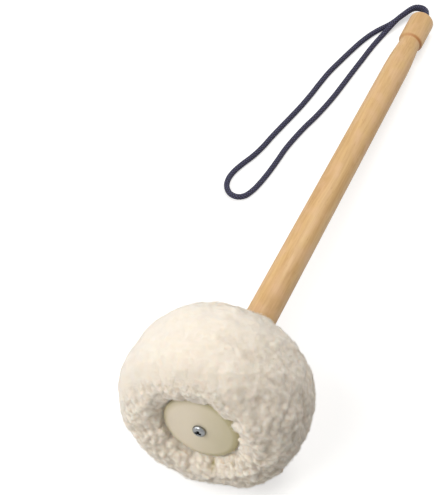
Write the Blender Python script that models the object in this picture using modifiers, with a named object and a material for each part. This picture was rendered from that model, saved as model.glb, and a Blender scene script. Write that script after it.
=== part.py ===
"""Soft mallet: a fleece head on a turned wooden handle, with a cord loop for the wrist.

Lengths are in metres and +Z is up. The mallet lies as it is put down on a table: the fleece
rests on its side, the handle slopes down to its knob and the cord loop lies beside it.

The turned pieces share one axis, the handle's own. Along it, z is 0 at the shoulder where the
head core stops, grows towards the knob, and is negative through the head.
"""

import math

import bpy
from mathutils import Matrix, Vector

# Clearance between pieces that seat on each other
SEAT_GAP = 0.0003

# Handle, turned from one length of wood
GRIP_LENGTH = 0.2840
NECK_LENGTH = 0.0222
KNOB_SLOPE_LENGTH = 0.0028
KNOB_LENGTH = 0.0245
HEAD_END_DIAMETER = 0.0190
GRIP_END_DIAMETER = 0.0167
NECK_DIAMETER = 0.0134
KNOB_DIAMETER = 0.0168
KNOB_LIP_LENGTH = 0.0011
KNOB_LIP_DROP = 0.0003
KNOB_EDGE_RADIUS = 0.0018
TENON_DIAMETER = 0.0130
TENON_SETBACK = 0.0010
TENON_CHAMFER = 0.0008
CORD_HOLE_DEPTH = 0.0220
CORD_HOLE_CHAMFER = 0.0006
HANDLE_STEPS = 48

# Head core, a turned wooden drum that the tenon is glued into
CORE_DIAMETER = 0.0560
CORE_LENGTH = 0.0500
CORE_EDGE_RADIUS = 0.0020
BORE_CLEARANCE = 0.0003
CORE_STEPS = 36

# Felt padding, a sleeve round the core that stands past its front end
PADDING_THICKNESS = 0.0130
PADDING_FRONT_OVERHANG = 0.0045
PADDING_FRONT_EDGE_RADIUS = 0.0045
PADDING_REAR_EDGE_RADIUS = 0.0100
PADDING_STEPS = 36

# Fleece cover, pile and backing together, drawn in at both ends
HEAD_DIAMETER = 0.1090
CROWN_TO_SHOULDER = 0.0336
FRONT_REACH = 0.0329
REAR_REACH = 0.0450
FRONT_SQUARENESS = 3.1
REAR_SQUARENESS = 2.55
FRONT_ROLL_DIAMETER = 0.0770
REAR_ROLL_DIAMETER = 0.0560
FRONT_ROLL_HEIGHT = 0.0012
REAR_ROLL_HEIGHT = 0.0006
REAR_DIMPLE_DEPTH = 0.0035
# Places between the handle and the rear roll, each with its part of the dimple's height
REAR_DIMPLE_SHAPE = ((0.0, 0.0), (0.35, 0.45), (0.75, 1.0))
# Places between the front roll and the disc, each with its part of the roll's height
FRONT_RECESS_SHAPE = ((0.30, 1.0), (0.60, 0.72), (0.90, 0.12))
REAR_ARC_SPANS = 4
FRONT_ARC_SPANS = 5
HEM_THICKNESS = 0.0031
HEM_HOLE_DIAMETER = 0.0250
FOLD_COUNT = 12
FOLD_START_DEGREES = 70.0
FOLD_DEPTH = 0.0016
SEAM_EXTRA_DEPTH = 0.0012
FOLD_REACH = 0.0150
REAR_FOLD_REACH = 0.0300
REAR_FOLD_PART = 0.7
FLEECE_STEPS = 36
REST_FLAT_DEPTH = 0.0010

# Threads that draw the two hems in
THREAD_DIAMETER = 0.0015
THREAD_SIDES = 6
THREAD_STEPS = 36
REAR_THREAD_SETBACK = 0.0027

# Clamp disc, moulded in milky plastic
DISC_DIAMETER = 0.0450
DISC_THICKNESS = 0.0035
DISC_FLAT_DIAMETER = 0.0370
DISC_EDGE_DROP = 0.0021
DISC_BACK_CHAMFER = 0.0003
DISC_STEPS = 48

# Pan head wood screw that holds the disc and the drawn-in fleece on the handle's end
SCREW_DIAMETER = 0.0040
SCREW_LENGTH = 0.0320
SCREW_POINT_LENGTH = 0.0050
SCREW_HEAD_DIAMETER = 0.0080
SCREW_HEAD_HEIGHT = 0.0025
SCREW_HEAD_SQUARENESS = 2.3
CROSS_WIDTH = 0.0043
CROSS_SLOT = 0.0011
CROSS_DEPTH = 0.0014
CROSS_FOOT_PART = 0.55
SCREW_CLEARANCE = 0.0003
PILOT_EXTRA_DEPTH = 0.0010
SCREW_STEPS = 24

# Wrist cord
CORD_DIAMETER = 0.0035
CORD_GAP = 0.0004
CORD_HOLE_CLEARANCE = 0.0005
CORD_FLOOR_GAP = 0.00005
CORD_END_DEPTH = 0.0200
CORD_MOUTH_LEAN = 0.0009
CORD_POINT_STEP = 0.0105
CORD_POINT_TURN_DEGREES = 22.0
CORD_CURVE_SAMPLES = 12
ROUND_EDGE_SPANS = 5

# Route of the cord outside the knob. Each point is measured from the middle of the knob's end
# face: x to the right, y along the table past the knob, and how far the cord is lifted off the
# table. The first list leaves the hole low and runs out to the loop's far end, the second
# leaves the hole high, lies on the first as far as the fork, and runs out on the handle's side.
OUTER_STRAND = (
    (0.0009, 0.0034, 0.0039), (0.0009, 0.0067, 0.0036), (0.0000, 0.0101, 0.0034),
    (-0.0025, 0.0126, 0.0032), (-0.0059, 0.0135, 0.0030), (-0.0093, 0.0126, 0.0027),
    (-0.0118, 0.0101, 0.0024), (-0.0142, 0.0059, 0.0019), (-0.0162, 0.0023, 0.0014),
    (-0.0179, -0.0009, 0.0009), (-0.0198, -0.0044, 0.0004), (-0.0224, -0.0083, 0.0000),
    (-0.0257, -0.0131, 0.0000),
    (-0.0296, -0.0200, 0.0000), (-0.0334, -0.0290, 0.0000), (-0.0368, -0.0395, 0.0000),
    (-0.0403, -0.0515, 0.0000), (-0.0436, -0.0635, 0.0000), (-0.0458, -0.0755, 0.0000),
    (-0.0476, -0.0870, 0.0000), (-0.0498, -0.0985, 0.0000), (-0.0524, -0.1095, 0.0000),
    (-0.0552, -0.1205, 0.0000), (-0.0578, -0.1310, 0.0000), (-0.0603, -0.1425, 0.0000),
    (-0.0632, -0.1520, 0.0000), (-0.0668, -0.1605, 0.0000), (-0.0696, -0.1685, 0.0000),
    (-0.0706, -0.1755, 0.0000), (-0.0692, -0.1820, 0.0000), (-0.0653, -0.1865, 0.0000),
    (-0.0603, -0.1875, 0.0000),
)
INNER_STRAND = (
    (0.0009, 0.0026, 0.0079), (0.0009, 0.0052, 0.0076), (0.0001, 0.0083, 0.0073),
    (-0.0022, 0.0106, 0.0070), (-0.0053, 0.0114, 0.0066), (-0.0084, 0.0106, 0.0062),
    (-0.0107, 0.0083, 0.0058), (-0.0134, 0.0035, 0.0052), (-0.0153, -0.0002, 0.0047),
    (-0.0167, -0.0034, 0.0042), (-0.0180, -0.0067, 0.0034), (-0.0195, -0.0104, 0.0021),
    (-0.0210, -0.0143, 0.0008), (-0.0223, -0.0185, 0.0000), (-0.0249, -0.0305, 0.0000),
    (-0.0270, -0.0440, 0.0000),
    (-0.0292, -0.0580, 0.0000), (-0.0311, -0.0710, 0.0000), (-0.0329, -0.0825, 0.0000),
    (-0.0352, -0.0940, 0.0000), (-0.0379, -0.1050, 0.0000), (-0.0410, -0.1155, 0.0000),
    (-0.0438, -0.1270, 0.0000), (-0.0460, -0.1385, 0.0000), (-0.0472, -0.1495, 0.0000),
    (-0.0486, -0.1605, 0.0000), (-0.0504, -0.1705, 0.0000), (-0.0525, -0.1785, 0.0000),
    (-0.0558, -0.1850, 0.0000),
)

# Places along the axis that follow from the sizes
KNOB_BASE = GRIP_LENGTH + NECK_LENGTH + KNOB_SLOPE_LENGTH
KNOB_END = KNOB_BASE + KNOB_LENGTH
CORE_BACK = -SEAT_GAP
CORE_FRONT = CORE_BACK - CORE_LENGTH
HEM_BACK = CORE_FRONT - SEAT_GAP
HEM_FRONT = HEM_BACK - HEM_THICKNESS
DISC_BACK = HEM_FRONT - SEAT_GAP
DISC_FRONT = DISC_BACK - DISC_THICKNESS
SCREW_SEAT = DISC_FRONT - SEAT_GAP
SCREW_TIP = SCREW_SEAT + SCREW_LENGTH
TENON_END = CORE_FRONT + TENON_SETBACK
REAR_HEM_BACK = CORE_BACK + SEAT_GAP
REAR_LIP = REAR_HEM_BACK + 2 * REAR_THREAD_SETBACK + THREAD_DIAMETER / 2
CROWN = -CROWN_TO_SHOULDER

# Radii that follow from the sizes
HEAD_RADIUS = HEAD_DIAMETER / 2
CORE_RADIUS = CORE_DIAMETER / 2
CORE_BORE_RADIUS = TENON_DIAMETER / 2 + BORE_CLEARANCE
PADDING_BORE_RADIUS = CORE_RADIUS + SEAT_GAP
PADDING_RADIUS = PADDING_BORE_RADIUS + PADDING_THICKNESS
SCREW_HOLE_RADIUS = SCREW_DIAMETER / 2 + SCREW_CLEARANCE
CORD_SPACING = CORD_DIAMETER + CORD_GAP
CORD_HOLE_RADIUS = CORD_SPACING / 2 + CORD_DIAMETER / 2 + CORD_HOLE_CLEARANCE
CORD_LYING_HEIGHT = CORD_DIAMETER / 2 + CORD_FLOOR_GAP
HANDLE_BORE_RADIUS = HEAD_END_DIAMETER / 2 + SEAT_GAP
REAR_THREAD_RADIUS = HANDLE_BORE_RADIUS + THREAD_DIAMETER / 2
FRONT_THREAD_RADIUS = HEM_HOLE_DIAMETER / 2 - SEAT_GAP - THREAD_DIAMETER / 2


# Setting up the scene

def clear_scene():
    """Remove every object that is already there."""
    for thing in list(bpy.data.objects):
        bpy.data.objects.remove(thing, do_unlink=True)


def new_collection(name):
    collection = bpy.data.collections.new(name)
    bpy.context.scene.collection.children.link(collection)
    return collection


def material(name, colour, roughness, metallic=0.0):
    """A plain Principled material in the real piece's colour."""
    made = bpy.data.materials.new(name)
    made.use_nodes = True
    shader = made.node_tree.nodes["Principled BSDF"]
    shader.inputs["Base Color"].default_value = (*colour, 1.0)
    shader.inputs["Roughness"].default_value = roughness
    shader.inputs["Metallic"].default_value = metallic
    return made


# Shapes shared by the turned pieces

def arc(centre_radius, centre_z, radius, start_degrees, end_degrees, count):
    """Points on an arc in the profile's plane, 0 degrees pointing away from the axis."""
    points = []
    for i in range(count):
        angle = math.radians(start_degrees + (end_degrees - start_degrees) * i / (count - 1))
        points.append((centre_radius + radius * math.cos(angle), centre_z + radius * math.sin(angle)))
    return points


def superellipse(half_width, reach, squareness, angle):
    """Radius and axial run at an angle up from the widest place of a soft, squarish bulge."""
    radius = half_width * math.cos(angle) ** (2 / squareness)
    run = reach * math.sin(angle) ** (2 / squareness)
    return radius, run


def lathe(name, profile, steps, closed):
    """Turn a profile of (radius, z) points about the axis. It runs down its outer side."""
    mesh = bpy.data.meshes.new(name)
    count = len(profile)
    edges = [(i, (i + 1) % count) for i in range(count if closed else count - 1)]
    mesh.from_pydata([(radius, 0.0, z) for radius, z in profile], edges, [])
    turned = bpy.data.objects.new(name, mesh)
    screw = turned.modifiers.new("turning", "SCREW")
    screw.axis = "Z"
    screw.angle = math.tau
    screw.steps = steps
    screw.render_steps = steps
    screw.use_merge_vertices = True
    screw.merge_threshold = 0.00001
    screw.use_smooth_shade = True
    return turned


def cut(target, cutter, name):
    """Subtract a cutter from a piece."""
    boolean = target.modifiers.new(name, "BOOLEAN")
    boolean.operation = "DIFFERENCE"
    boolean.solver = "EXACT"
    boolean.object = cutter


def hide_guide(guide):
    guide.hide_render = True
    guide.display_type = "WIRE"


# Profiles of the turned pieces

def handle_profile():
    """Cord hole, knob, sloping knob face, long neck, tapered grip, tenon and pilot hole."""
    knob_radius = KNOB_DIAMETER / 2
    neck_radius = NECK_DIAMETER / 2
    tenon_radius = TENON_DIAMETER / 2
    edge = KNOB_EDGE_RADIUS
    hole_bottom = KNOB_END - CORD_HOLE_DEPTH
    pilot_bottom = SCREW_TIP + PILOT_EXTRA_DEPTH
    profile = [
        (0.0, hole_bottom),
        (CORD_HOLE_RADIUS, hole_bottom),
        (CORD_HOLE_RADIUS, KNOB_END - CORD_HOLE_CHAMFER),
        (CORD_HOLE_RADIUS + CORD_HOLE_CHAMFER, KNOB_END),
    ]
    profile += arc(knob_radius - edge, KNOB_END - edge, edge, 90, 0, ROUND_EDGE_SPANS + 1)
    profile += [
        (knob_radius, KNOB_BASE),
        (knob_radius - KNOB_LIP_DROP, KNOB_BASE - KNOB_LIP_LENGTH),
        (neck_radius, KNOB_BASE - KNOB_SLOPE_LENGTH),
        (GRIP_END_DIAMETER / 2, GRIP_LENGTH),
        (HEAD_END_DIAMETER / 2, 0.0),
        (tenon_radius, 0.0),
        (tenon_radius, TENON_END + TENON_CHAMFER),
        (tenon_radius - TENON_CHAMFER, TENON_END),
        (SCREW_HOLE_RADIUS, TENON_END),
        (SCREW_HOLE_RADIUS, pilot_bottom),
        (0.0, pilot_bottom + SCREW_HOLE_RADIUS),
    ]
    return profile


def core_profile():
    """A plain drum with eased edges and a bore for the tenon."""
    edge = CORE_EDGE_RADIUS
    profile = arc(CORE_RADIUS - edge, CORE_BACK - edge, edge, 90, 0, 3)
    profile += arc(CORE_RADIUS - edge, CORE_FRONT + edge, edge, 0, -90, 3)
    profile += [(CORE_BORE_RADIUS, CORE_FRONT), (CORE_BORE_RADIUS, CORE_BACK)]
    return profile


def padding_outline(grow=0.0):
    """The felt sleeve's outside from back to front, or the same grown by a clearance."""
    front = CORE_FRONT - PADDING_FRONT_OVERHANG
    front_edge = PADDING_FRONT_EDGE_RADIUS
    rear_edge = PADDING_REAR_EDGE_RADIUS
    outline = arc(PADDING_RADIUS - rear_edge, CORE_BACK - rear_edge, rear_edge + grow, 90, 0, 4)
    outline += arc(PADDING_RADIUS - front_edge, front + front_edge, front_edge + grow, 0, -90, 3)
    outline += arc(PADDING_BORE_RADIUS + front_edge, front + front_edge, front_edge + grow, -90, -180, 3)
    return outline


def padding_profile():
    """The felt sleeve's section, closed along the core."""
    return padding_outline() + [(PADDING_BORE_RADIUS, CORE_BACK)]


def fleece_profile():
    """Rear dimple, crown and front roll outside, then the hems and the space for the padding."""
    rear_roll = REAR_ROLL_DIAMETER / 2
    front_roll = FRONT_ROLL_DIAMETER / 2
    rear_end = math.acos((rear_roll / HEAD_RADIUS) ** (REAR_SQUARENESS / 2))
    front_end = math.acos((front_roll / HEAD_RADIUS) ** (FRONT_SQUARENESS / 2))
    rear = [superellipse(HEAD_RADIUS, REAR_REACH, REAR_SQUARENESS, rear_end * i / REAR_ARC_SPANS)
            for i in range(REAR_ARC_SPANS, 0, -1)]
    front = [superellipse(HEAD_RADIUS, FRONT_REACH, FRONT_SQUARENESS, front_end * i / FRONT_ARC_SPANS)
             for i in range(FRONT_ARC_SPANS + 1)]
    rear_crest = CROWN + rear[0][1] + REAR_ROLL_HEIGHT
    front_crest = CROWN - front[-1][1] - FRONT_ROLL_HEIGHT
    disc_side = DISC_DIAMETER / 2 + SEAT_GAP

    outside = [(HANDLE_BORE_RADIUS + (rear_roll - HANDLE_BORE_RADIUS) * place,
                rear_crest - REAR_DIMPLE_DEPTH * (1 - height)) for place, height in REAR_DIMPLE_SHAPE]
    outside += [(radius, CROWN + run) for radius, run in rear]
    outside += [(radius, CROWN - run) for radius, run in front]
    outside += [(front_roll + (disc_side - front_roll) * place,
                 DISC_FRONT + (front_crest - DISC_FRONT) * height) for place, height in FRONT_RECESS_SHAPE]
    outside += [
        (disc_side, HEM_FRONT),
        (HEM_HOLE_DIAMETER / 2, HEM_FRONT),
        (HEM_HOLE_DIAMETER / 2, HEM_BACK),
    ]
    inside = [(PADDING_BORE_RADIUS - SEAT_GAP, HEM_BACK)]
    inside += reversed(padding_outline(SEAT_GAP)[:-1])
    inside += [(HANDLE_BORE_RADIUS, REAR_HEM_BACK)]
    groove_radius = REAR_THREAD_RADIUS + THREAD_DIAMETER / 2 + SEAT_GAP
    groove_half = THREAD_DIAMETER / 2 + SEAT_GAP
    groove_middle = REAR_HEM_BACK + REAR_THREAD_SETBACK
    inside += [
        (HANDLE_BORE_RADIUS, groove_middle - groove_half),
        (groove_radius, groove_middle - groove_half),
        (groove_radius, groove_middle + groove_half),
        (HANDLE_BORE_RADIUS, groove_middle + groove_half),
    ]
    return outside + inside


def disc_profile():
    """Flat face, softly rounded rim, and a hole for the screw."""
    flat_radius = DISC_FLAT_DIAMETER / 2
    radius = DISC_DIAMETER / 2
    rim_width = radius - flat_radius
    profile = [
        (SCREW_HOLE_RADIUS, DISC_BACK),
        (radius - DISC_BACK_CHAMFER, DISC_BACK),
        (radius, DISC_BACK - DISC_BACK_CHAMFER),
    ]
    for i in range(ROUND_EDGE_SPANS + 1):
        angle = math.radians(90 * i / ROUND_EDGE_SPANS)
        drop = DISC_EDGE_DROP * (1 - math.sin(angle))
        profile.append((flat_radius + rim_width * math.cos(angle), DISC_FRONT + drop))
    profile.append((SCREW_HOLE_RADIUS, DISC_FRONT))
    return profile


def screw_profile():
    """Point, shank and pan head, from the point down to the top of the head."""
    shank_radius = SCREW_DIAMETER / 2
    head_radius = SCREW_HEAD_DIAMETER / 2
    profile = [(0.0, SCREW_TIP), (shank_radius, SCREW_TIP - SCREW_POINT_LENGTH), (shank_radius, SCREW_SEAT)]
    for i in range(ROUND_EDGE_SPANS + 1):
        angle = math.radians(90 * i / (ROUND_EDGE_SPANS + 1))
        radius, rise = superellipse(head_radius, SCREW_HEAD_HEIGHT, SCREW_HEAD_SQUARENESS, angle)
        profile.append((radius, SCREW_SEAT - rise))
    profile.append((0.0, SCREW_SEAT - SCREW_HEAD_HEIGHT))
    return profile


# How the mallet lies

def reach_below(profile, tilt):
    """How far a turned piece reaches below its axis when the axis is tilted down to the knob."""
    return max(radius * math.cos(tilt) + z * math.sin(tilt) for radius, z in profile)


def lying_tilt():
    """The tilt at which the pressed fleece and the knob both meet the table."""
    fleece = fleece_profile()
    handle = handle_profile()
    low, high = 0.0, math.radians(45)
    for _ in range(50):
        middle = (low + high) / 2
        if reach_below(fleece, middle) - REST_FLAT_DEPTH > reach_below(handle, middle):
            low = middle
        else:
            high = middle
    return (low + high) / 2


def axis_matrix():
    """Place of the shared axis, with the middle of the mallet's length over the origin."""
    tilt = lying_tilt()
    height = reach_below(handle_profile(), tilt)
    near = min(z * math.cos(tilt) - radius * math.sin(tilt) for radius, z in fleece_profile())
    far = max(z * math.cos(tilt) + radius * math.sin(tilt) for radius, z in handle_profile())
    turn = Matrix.Rotation(-(math.pi / 2 + tilt), 4, "X")
    return Matrix.Translation((0.0, -(near + far) / 2, height)) @ turn


# Pieces

def fold_weight(radius, z):
    """How strongly a place on the fleece is gathered: full beside the hems, none at the crown."""
    if z < HEM_FRONT:
        start = DISC_DIAMETER / 2
        weight = 1 - (radius - start) / FOLD_REACH
    elif z > REAR_LIP:
        start = HANDLE_BORE_RADIUS
        weight = REAR_FOLD_PART * (1 - (radius - start) / REAR_FOLD_REACH)
    else:
        return 0.0
    if radius < start + SEAT_GAP * 2:
        return 0.0
    return max(0.0, weight)


def gather_fleece(mesh):
    """Press the radial folds and the deeper seam into the drawn-in ends."""
    spacing = math.tau / FOLD_COUNT
    half_width = math.tau / FLEECE_STEPS
    start = math.radians(FOLD_START_DEGREES)
    moves = []
    for vertex in mesh.vertices:
        x, y, z = vertex.co
        turn = (math.atan2(y, x) - start) % math.tau
        nearest = round(turn / spacing)
        crease = max(0.0, 1 - abs(turn - nearest * spacing) / half_width)
        depth = FOLD_DEPTH
        if nearest % FOLD_COUNT == 0:
            depth += SEAM_EXTRA_DEPTH
        moves.append(vertex.normal * (depth * crease * fold_weight(math.hypot(x, y), z)))
    for vertex, move in zip(mesh.vertices, moves):
        vertex.co -= move


def make_fleece(table):
    """Fleece cover: turned, gathered at both ends and pressed flat where it rests."""
    turned = lathe("fleece_turning", fleece_profile(), FLEECE_STEPS, True)
    bpy.context.scene.collection.objects.link(turned)
    evaluated = turned.evaluated_get(bpy.context.evaluated_depsgraph_get())
    mesh = bpy.data.meshes.new_from_object(evaluated)
    bpy.data.objects.remove(turned, do_unlink=True)
    mesh.name = "fleece_cover"
    gather_fleece(mesh)
    fleece = bpy.data.objects.new("fleece_cover", mesh)
    cut(fleece, table, "resting_flat")
    return fleece


def make_table():
    """A block whose top face is the table, used only to press the fleece flat."""
    depth = HEAD_DIAMETER / 4
    bpy.ops.mesh.primitive_cube_add(size=1.0)
    table = bpy.context.active_object
    table.name = "table_cutter"
    for vertex in table.data.vertices:
        vertex.co.x *= 3 * HEAD_DIAMETER
        vertex.co.y *= 2 * KNOB_END
        vertex.co.z = (vertex.co.z - 0.5) * depth
    hide_guide(table)
    return table


def make_slot_cutter(name, turn_degrees):
    """One arm of the driver cross, narrower at its foot."""
    bpy.ops.mesh.primitive_cube_add(size=1.0)
    slot = bpy.context.active_object
    slot.name = name
    head_top = SCREW_SEAT - SCREW_HEAD_HEIGHT
    for vertex in slot.data.vertices:
        at_foot = vertex.co.z > 0
        vertex.co.x *= CROSS_WIDTH * (CROSS_FOOT_PART if at_foot else 1.0)
        vertex.co.y *= CROSS_SLOT
        vertex.co.z = head_top + (CROSS_DEPTH if at_foot else -CROSS_DEPTH)
    slot.data.transform(Matrix.Rotation(math.radians(turn_degrees), 4, "Z"))
    hide_guide(slot)
    return slot


def make_thread(name, radius, z):
    """A ring of thread lying round the axis."""
    bpy.ops.mesh.primitive_torus_add(
        major_radius=radius, minor_radius=THREAD_DIAMETER / 2,
        major_segments=THREAD_STEPS, minor_segments=THREAD_SIDES)
    thread = bpy.context.active_object
    thread.name = name
    thread.data.name = name
    thread.data.transform(Matrix.Translation((0.0, 0.0, z)))
    thread.data.shade_smooth()
    return thread


def smooth_curve(points):
    """Fine samples of a centripetal Catmull-Rom curve through the points."""
    ends = [points[0] * 2 - points[1]] + list(points) + [points[-1] * 2 - points[-2]]
    fine = []
    for i in range(1, len(ends) - 2):
        p0, p1, p2, p3 = ends[i - 1:i + 3]
        t1 = (p1 - p0).length ** 0.5
        t2 = t1 + (p2 - p1).length ** 0.5
        t3 = t2 + (p3 - p2).length ** 0.5
        for k in range(CORD_CURVE_SAMPLES):
            t = t1 + (t2 - t1) * k / CORD_CURVE_SAMPLES
            a1 = p0 * ((t1 - t) / t1) + p1 * (t / t1)
            a2 = p1 * ((t2 - t) / (t2 - t1)) + p2 * ((t - t1) / (t2 - t1))
            a3 = p2 * ((t3 - t) / (t3 - t2)) + p3 * ((t - t2) / (t3 - t2))
            b1 = a1 * ((t2 - t) / t2) + a2 * (t / t2)
            b2 = a2 * ((t3 - t) / (t3 - t1)) + a3 * ((t - t1) / (t3 - t1))
            fine.append(b1 * ((t2 - t) / (t2 - t1)) + b2 * ((t - t1) / (t2 - t1)))
    fine.append(points[-1].copy())
    return fine


def thin_curve(fine):
    """Keep the points that a run's length or its turning calls for."""
    kept = [fine[0]]
    run, turning = 0.0, 0.0
    turn_limit = math.radians(CORD_POINT_TURN_DEGREES)
    for before, here, after in zip(fine, fine[1:], fine[2:]):
        run += (here - before).length
        turning += (here - before).angle(after - here, 0.0)
        if run / CORD_POINT_STEP + turning / turn_limit >= 1:
            kept.append(here)
            run, turning = 0.0, 0.0
    if (fine[-1] - kept[-1]).length < CORD_DIAMETER:
        kept.pop()
    return kept + [fine[-1]]


def cord_route(place):
    """Both strands in the hole and the loop between them, from one end to the other."""
    end_face = place @ Vector((0.0, 0.0, KNOB_END))

    def in_hole(side):
        points = []
        for part_out in (0.0, 0.5, 1.0):
            depth = CORD_END_DEPTH * (1 - part_out)
            across = CORD_MOUTH_LEAN * part_out
            points.append(place @ Vector((across, side * CORD_SPACING / 2, KNOB_END - depth)))
        return points

    def on_table(strand):
        return [Vector((end_face.x + x, end_face.y + y, CORD_LYING_HEIGHT + lift))
                for x, y, lift in strand]

    route = in_hole(1) + on_table(OUTER_STRAND)
    route += reversed(in_hole(-1) + on_table(INNER_STRAND))
    return route


def make_cord(place):
    """The wrist cord as a round tube along its route."""
    fine = smooth_curve(cord_route(place))
    for point in fine:
        point.z = max(point.z, CORD_LYING_HEIGHT)
    points = thin_curve(fine)
    curve = bpy.data.curves.new("wrist_cord", "CURVE")
    curve.dimensions = "3D"
    curve.bevel_depth = CORD_DIAMETER / 2
    curve.bevel_resolution = 2
    curve.use_fill_caps = True
    spline = curve.splines.new("POLY")
    spline.points.add(len(points) - 1)
    for spline_point, point in zip(spline.points, points):
        spline_point.co = (*point, 1.0)
    return bpy.data.objects.new("wrist_cord", curve)


# Assembly

def build():
    clear_scene()
    mallet = new_collection("singing_bowl_mallet")
    guides = new_collection("cutters")
    place = axis_matrix()

    axis = bpy.data.objects.new("mallet_axis", None)
    axis.empty_display_size = HEAD_RADIUS
    axis.matrix_world = place
    mallet.objects.link(axis)

    table = make_table()
    slots = [make_slot_cutter("slot_cutter_a", 0), make_slot_cutter("slot_cutter_b", 90)]

    core = lathe("head_core", core_profile(), CORE_STEPS, True)
    padding = lathe("felt_padding", padding_profile(), PADDING_STEPS, True)
    screw = lathe("clamp_screw", screw_profile(), SCREW_STEPS, False)
    for slot in slots:
        cut(screw, slot, slot.name)
    groove_middle = REAR_HEM_BACK + REAR_THREAD_SETBACK
    hem_middle = (HEM_BACK + HEM_FRONT) / 2

    finishes = {
        "handle": material("pale_beech", (0.74, 0.52, 0.30), 0.45),
        "head_core": material("turned_softwood", (0.66, 0.50, 0.32), 0.7),
        "felt_padding": material("grey_felt", (0.42, 0.41, 0.39), 0.95),
        "fleece_cover": material("ivory_fleece", (0.86, 0.79, 0.68), 0.95),
        "front_draw_thread": material("front_thread", (0.80, 0.76, 0.66), 0.8),
        "rear_draw_thread": material("rear_thread", (0.80, 0.76, 0.66), 0.8),
        "clamp_disc": material("milky_plastic", (0.72, 0.66, 0.52), 0.35),
        "clamp_screw": material("zinc_plate", (0.80, 0.81, 0.82), 0.25, 1.0),
        "wrist_cord": material("navy_cord", (0.03, 0.03, 0.07), 0.7),
    }
    on_axis = {
        "handle": lathe("handle", handle_profile(), HANDLE_STEPS, False),
        "head_core": core,
        "felt_padding": padding,
        "fleece_cover": make_fleece(table),
        "front_draw_thread": make_thread("front_draw_thread", FRONT_THREAD_RADIUS, hem_middle),
        "rear_draw_thread": make_thread("rear_draw_thread", REAR_THREAD_RADIUS, groove_middle),
        "clamp_disc": lathe("clamp_disc", disc_profile(), DISC_STEPS, True),
        "clamp_screw": screw,
    }
    cord = make_cord(place)

    for name, piece in {**on_axis, "wrist_cord": cord}.items():
        for owner in list(piece.users_collection):
            owner.objects.unlink(piece)
        mallet.objects.link(piece)
        piece.data.materials.clear()
        piece.data.materials.append(finishes[name])
    for guide in [table] + slots:
        for owner in list(guide.users_collection):
            owner.objects.unlink(guide)
        guides.objects.link(guide)
    for thing in list(on_axis.values()) + slots:
        thing.parent = axis
    bpy.context.view_layer.update()


build()
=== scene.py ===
"""A soft mallet for a singing bowl, lying on a pale table with its wrist cord laid out beside it.

Lengths are in metres and +Z is up. The turned pieces are drawn in the mallet's own frame: its
z runs along the handle from the shoulder, where the head's core stops, towards the knob.
"""

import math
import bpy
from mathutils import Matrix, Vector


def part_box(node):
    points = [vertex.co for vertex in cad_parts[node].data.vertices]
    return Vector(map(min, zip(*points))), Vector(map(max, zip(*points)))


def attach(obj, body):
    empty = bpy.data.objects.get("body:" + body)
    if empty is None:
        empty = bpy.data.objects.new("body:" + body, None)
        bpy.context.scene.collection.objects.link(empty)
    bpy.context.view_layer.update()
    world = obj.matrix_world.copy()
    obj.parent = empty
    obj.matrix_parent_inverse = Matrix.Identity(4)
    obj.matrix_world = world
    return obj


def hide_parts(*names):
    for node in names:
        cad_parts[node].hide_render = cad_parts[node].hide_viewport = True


bl_info = {
    "name": "Singing Bowl Mallet",
    "version": (1, 0, 0),
    "blender": (4, 5, 0),
    "location": "3D View > Sidebar > Mallet",
    "description": "Builds a fleece headed mallet with a turned handle and a wrist cord",
    "category": "Add Mesh",
}

import bpy
import numpy as np
from bpy.props import FloatProperty, FloatVectorProperty, IntProperty, PointerProperty
from mathutils import Matrix, Vector

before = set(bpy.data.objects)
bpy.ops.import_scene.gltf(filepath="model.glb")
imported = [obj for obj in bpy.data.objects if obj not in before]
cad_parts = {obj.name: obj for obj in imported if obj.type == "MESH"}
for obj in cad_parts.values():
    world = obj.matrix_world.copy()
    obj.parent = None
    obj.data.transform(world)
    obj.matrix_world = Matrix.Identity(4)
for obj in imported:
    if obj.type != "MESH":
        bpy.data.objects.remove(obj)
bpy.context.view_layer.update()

BODY = "root"

# Between pieces that touch, and between loose wool and the pieces beside it.
CLEARANCE = 0.0003
WOOL_CLEARANCE = 0.0002


# Reading the frame

def mesh_points(mesh):
    """A mesh's points, one in each row."""
    flat = np.empty(len(mesh.vertices) * 3)
    mesh.vertices.foreach_get("co", flat)
    return flat.reshape(-1, 3)


def read_axis():
    """The mallet's axis from the handle's solid: where its knob ends, and its direction."""
    points = np.unique(mesh_points(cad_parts["handle"].data).round(6), axis=0)
    middle = points.mean(axis=0)
    directions = np.linalg.eigh(np.cov((points - middle).T))[1]
    axis = directions[:, -1] * np.sign(directions[1, -1])
    reach = ((points - middle) @ axis).max()
    return Vector(middle + axis * reach), Vector(axis)


def diameter_of(node):
    """A turned solid's diameter. Its axis has no slope along X."""
    low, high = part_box(node)
    return high.x - low.x


KNOB_FACE, AXIS = read_axis()
HEAD_DIAMETER = diameter_of("fleece_cover")
DISC_DIAMETER = diameter_of("clamp_disc")


# Sizes and colours that a user would change

def length(name, description, default):
    """A length in metres."""
    return FloatProperty(name=name, description=description, default=default, min=0.0,
                         unit="LENGTH", precision=4)


def part(name, description, default):
    """A share from 0 to 1."""
    return FloatProperty(name=name, description=description, default=default, min=0.0, max=1.0,
                         subtype="FACTOR")


def count(name, description, default, least):
    return IntProperty(name=name, description=description, default=default, min=least)


def angle(name, description, degrees):
    return FloatProperty(name=name, description=description, default=math.radians(degrees), subtype="ANGLE")


def power(name, description, watts):
    return FloatProperty(name=name, description=description, default=watts, min=0.0)


def linear(red, green, blue):
    """A colour as a screen shows it, from 0 to 255, in the linear values that shaders take."""
    return tuple((v / 255) ** 2.2 for v in (red, green, blue))


def colour(name, description, red, green, blue):
    return FloatVectorProperty(name=name, description=description, default=linear(red, green, blue),
                               min=0.0, max=1.0, size=3, subtype="COLOR")


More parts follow.
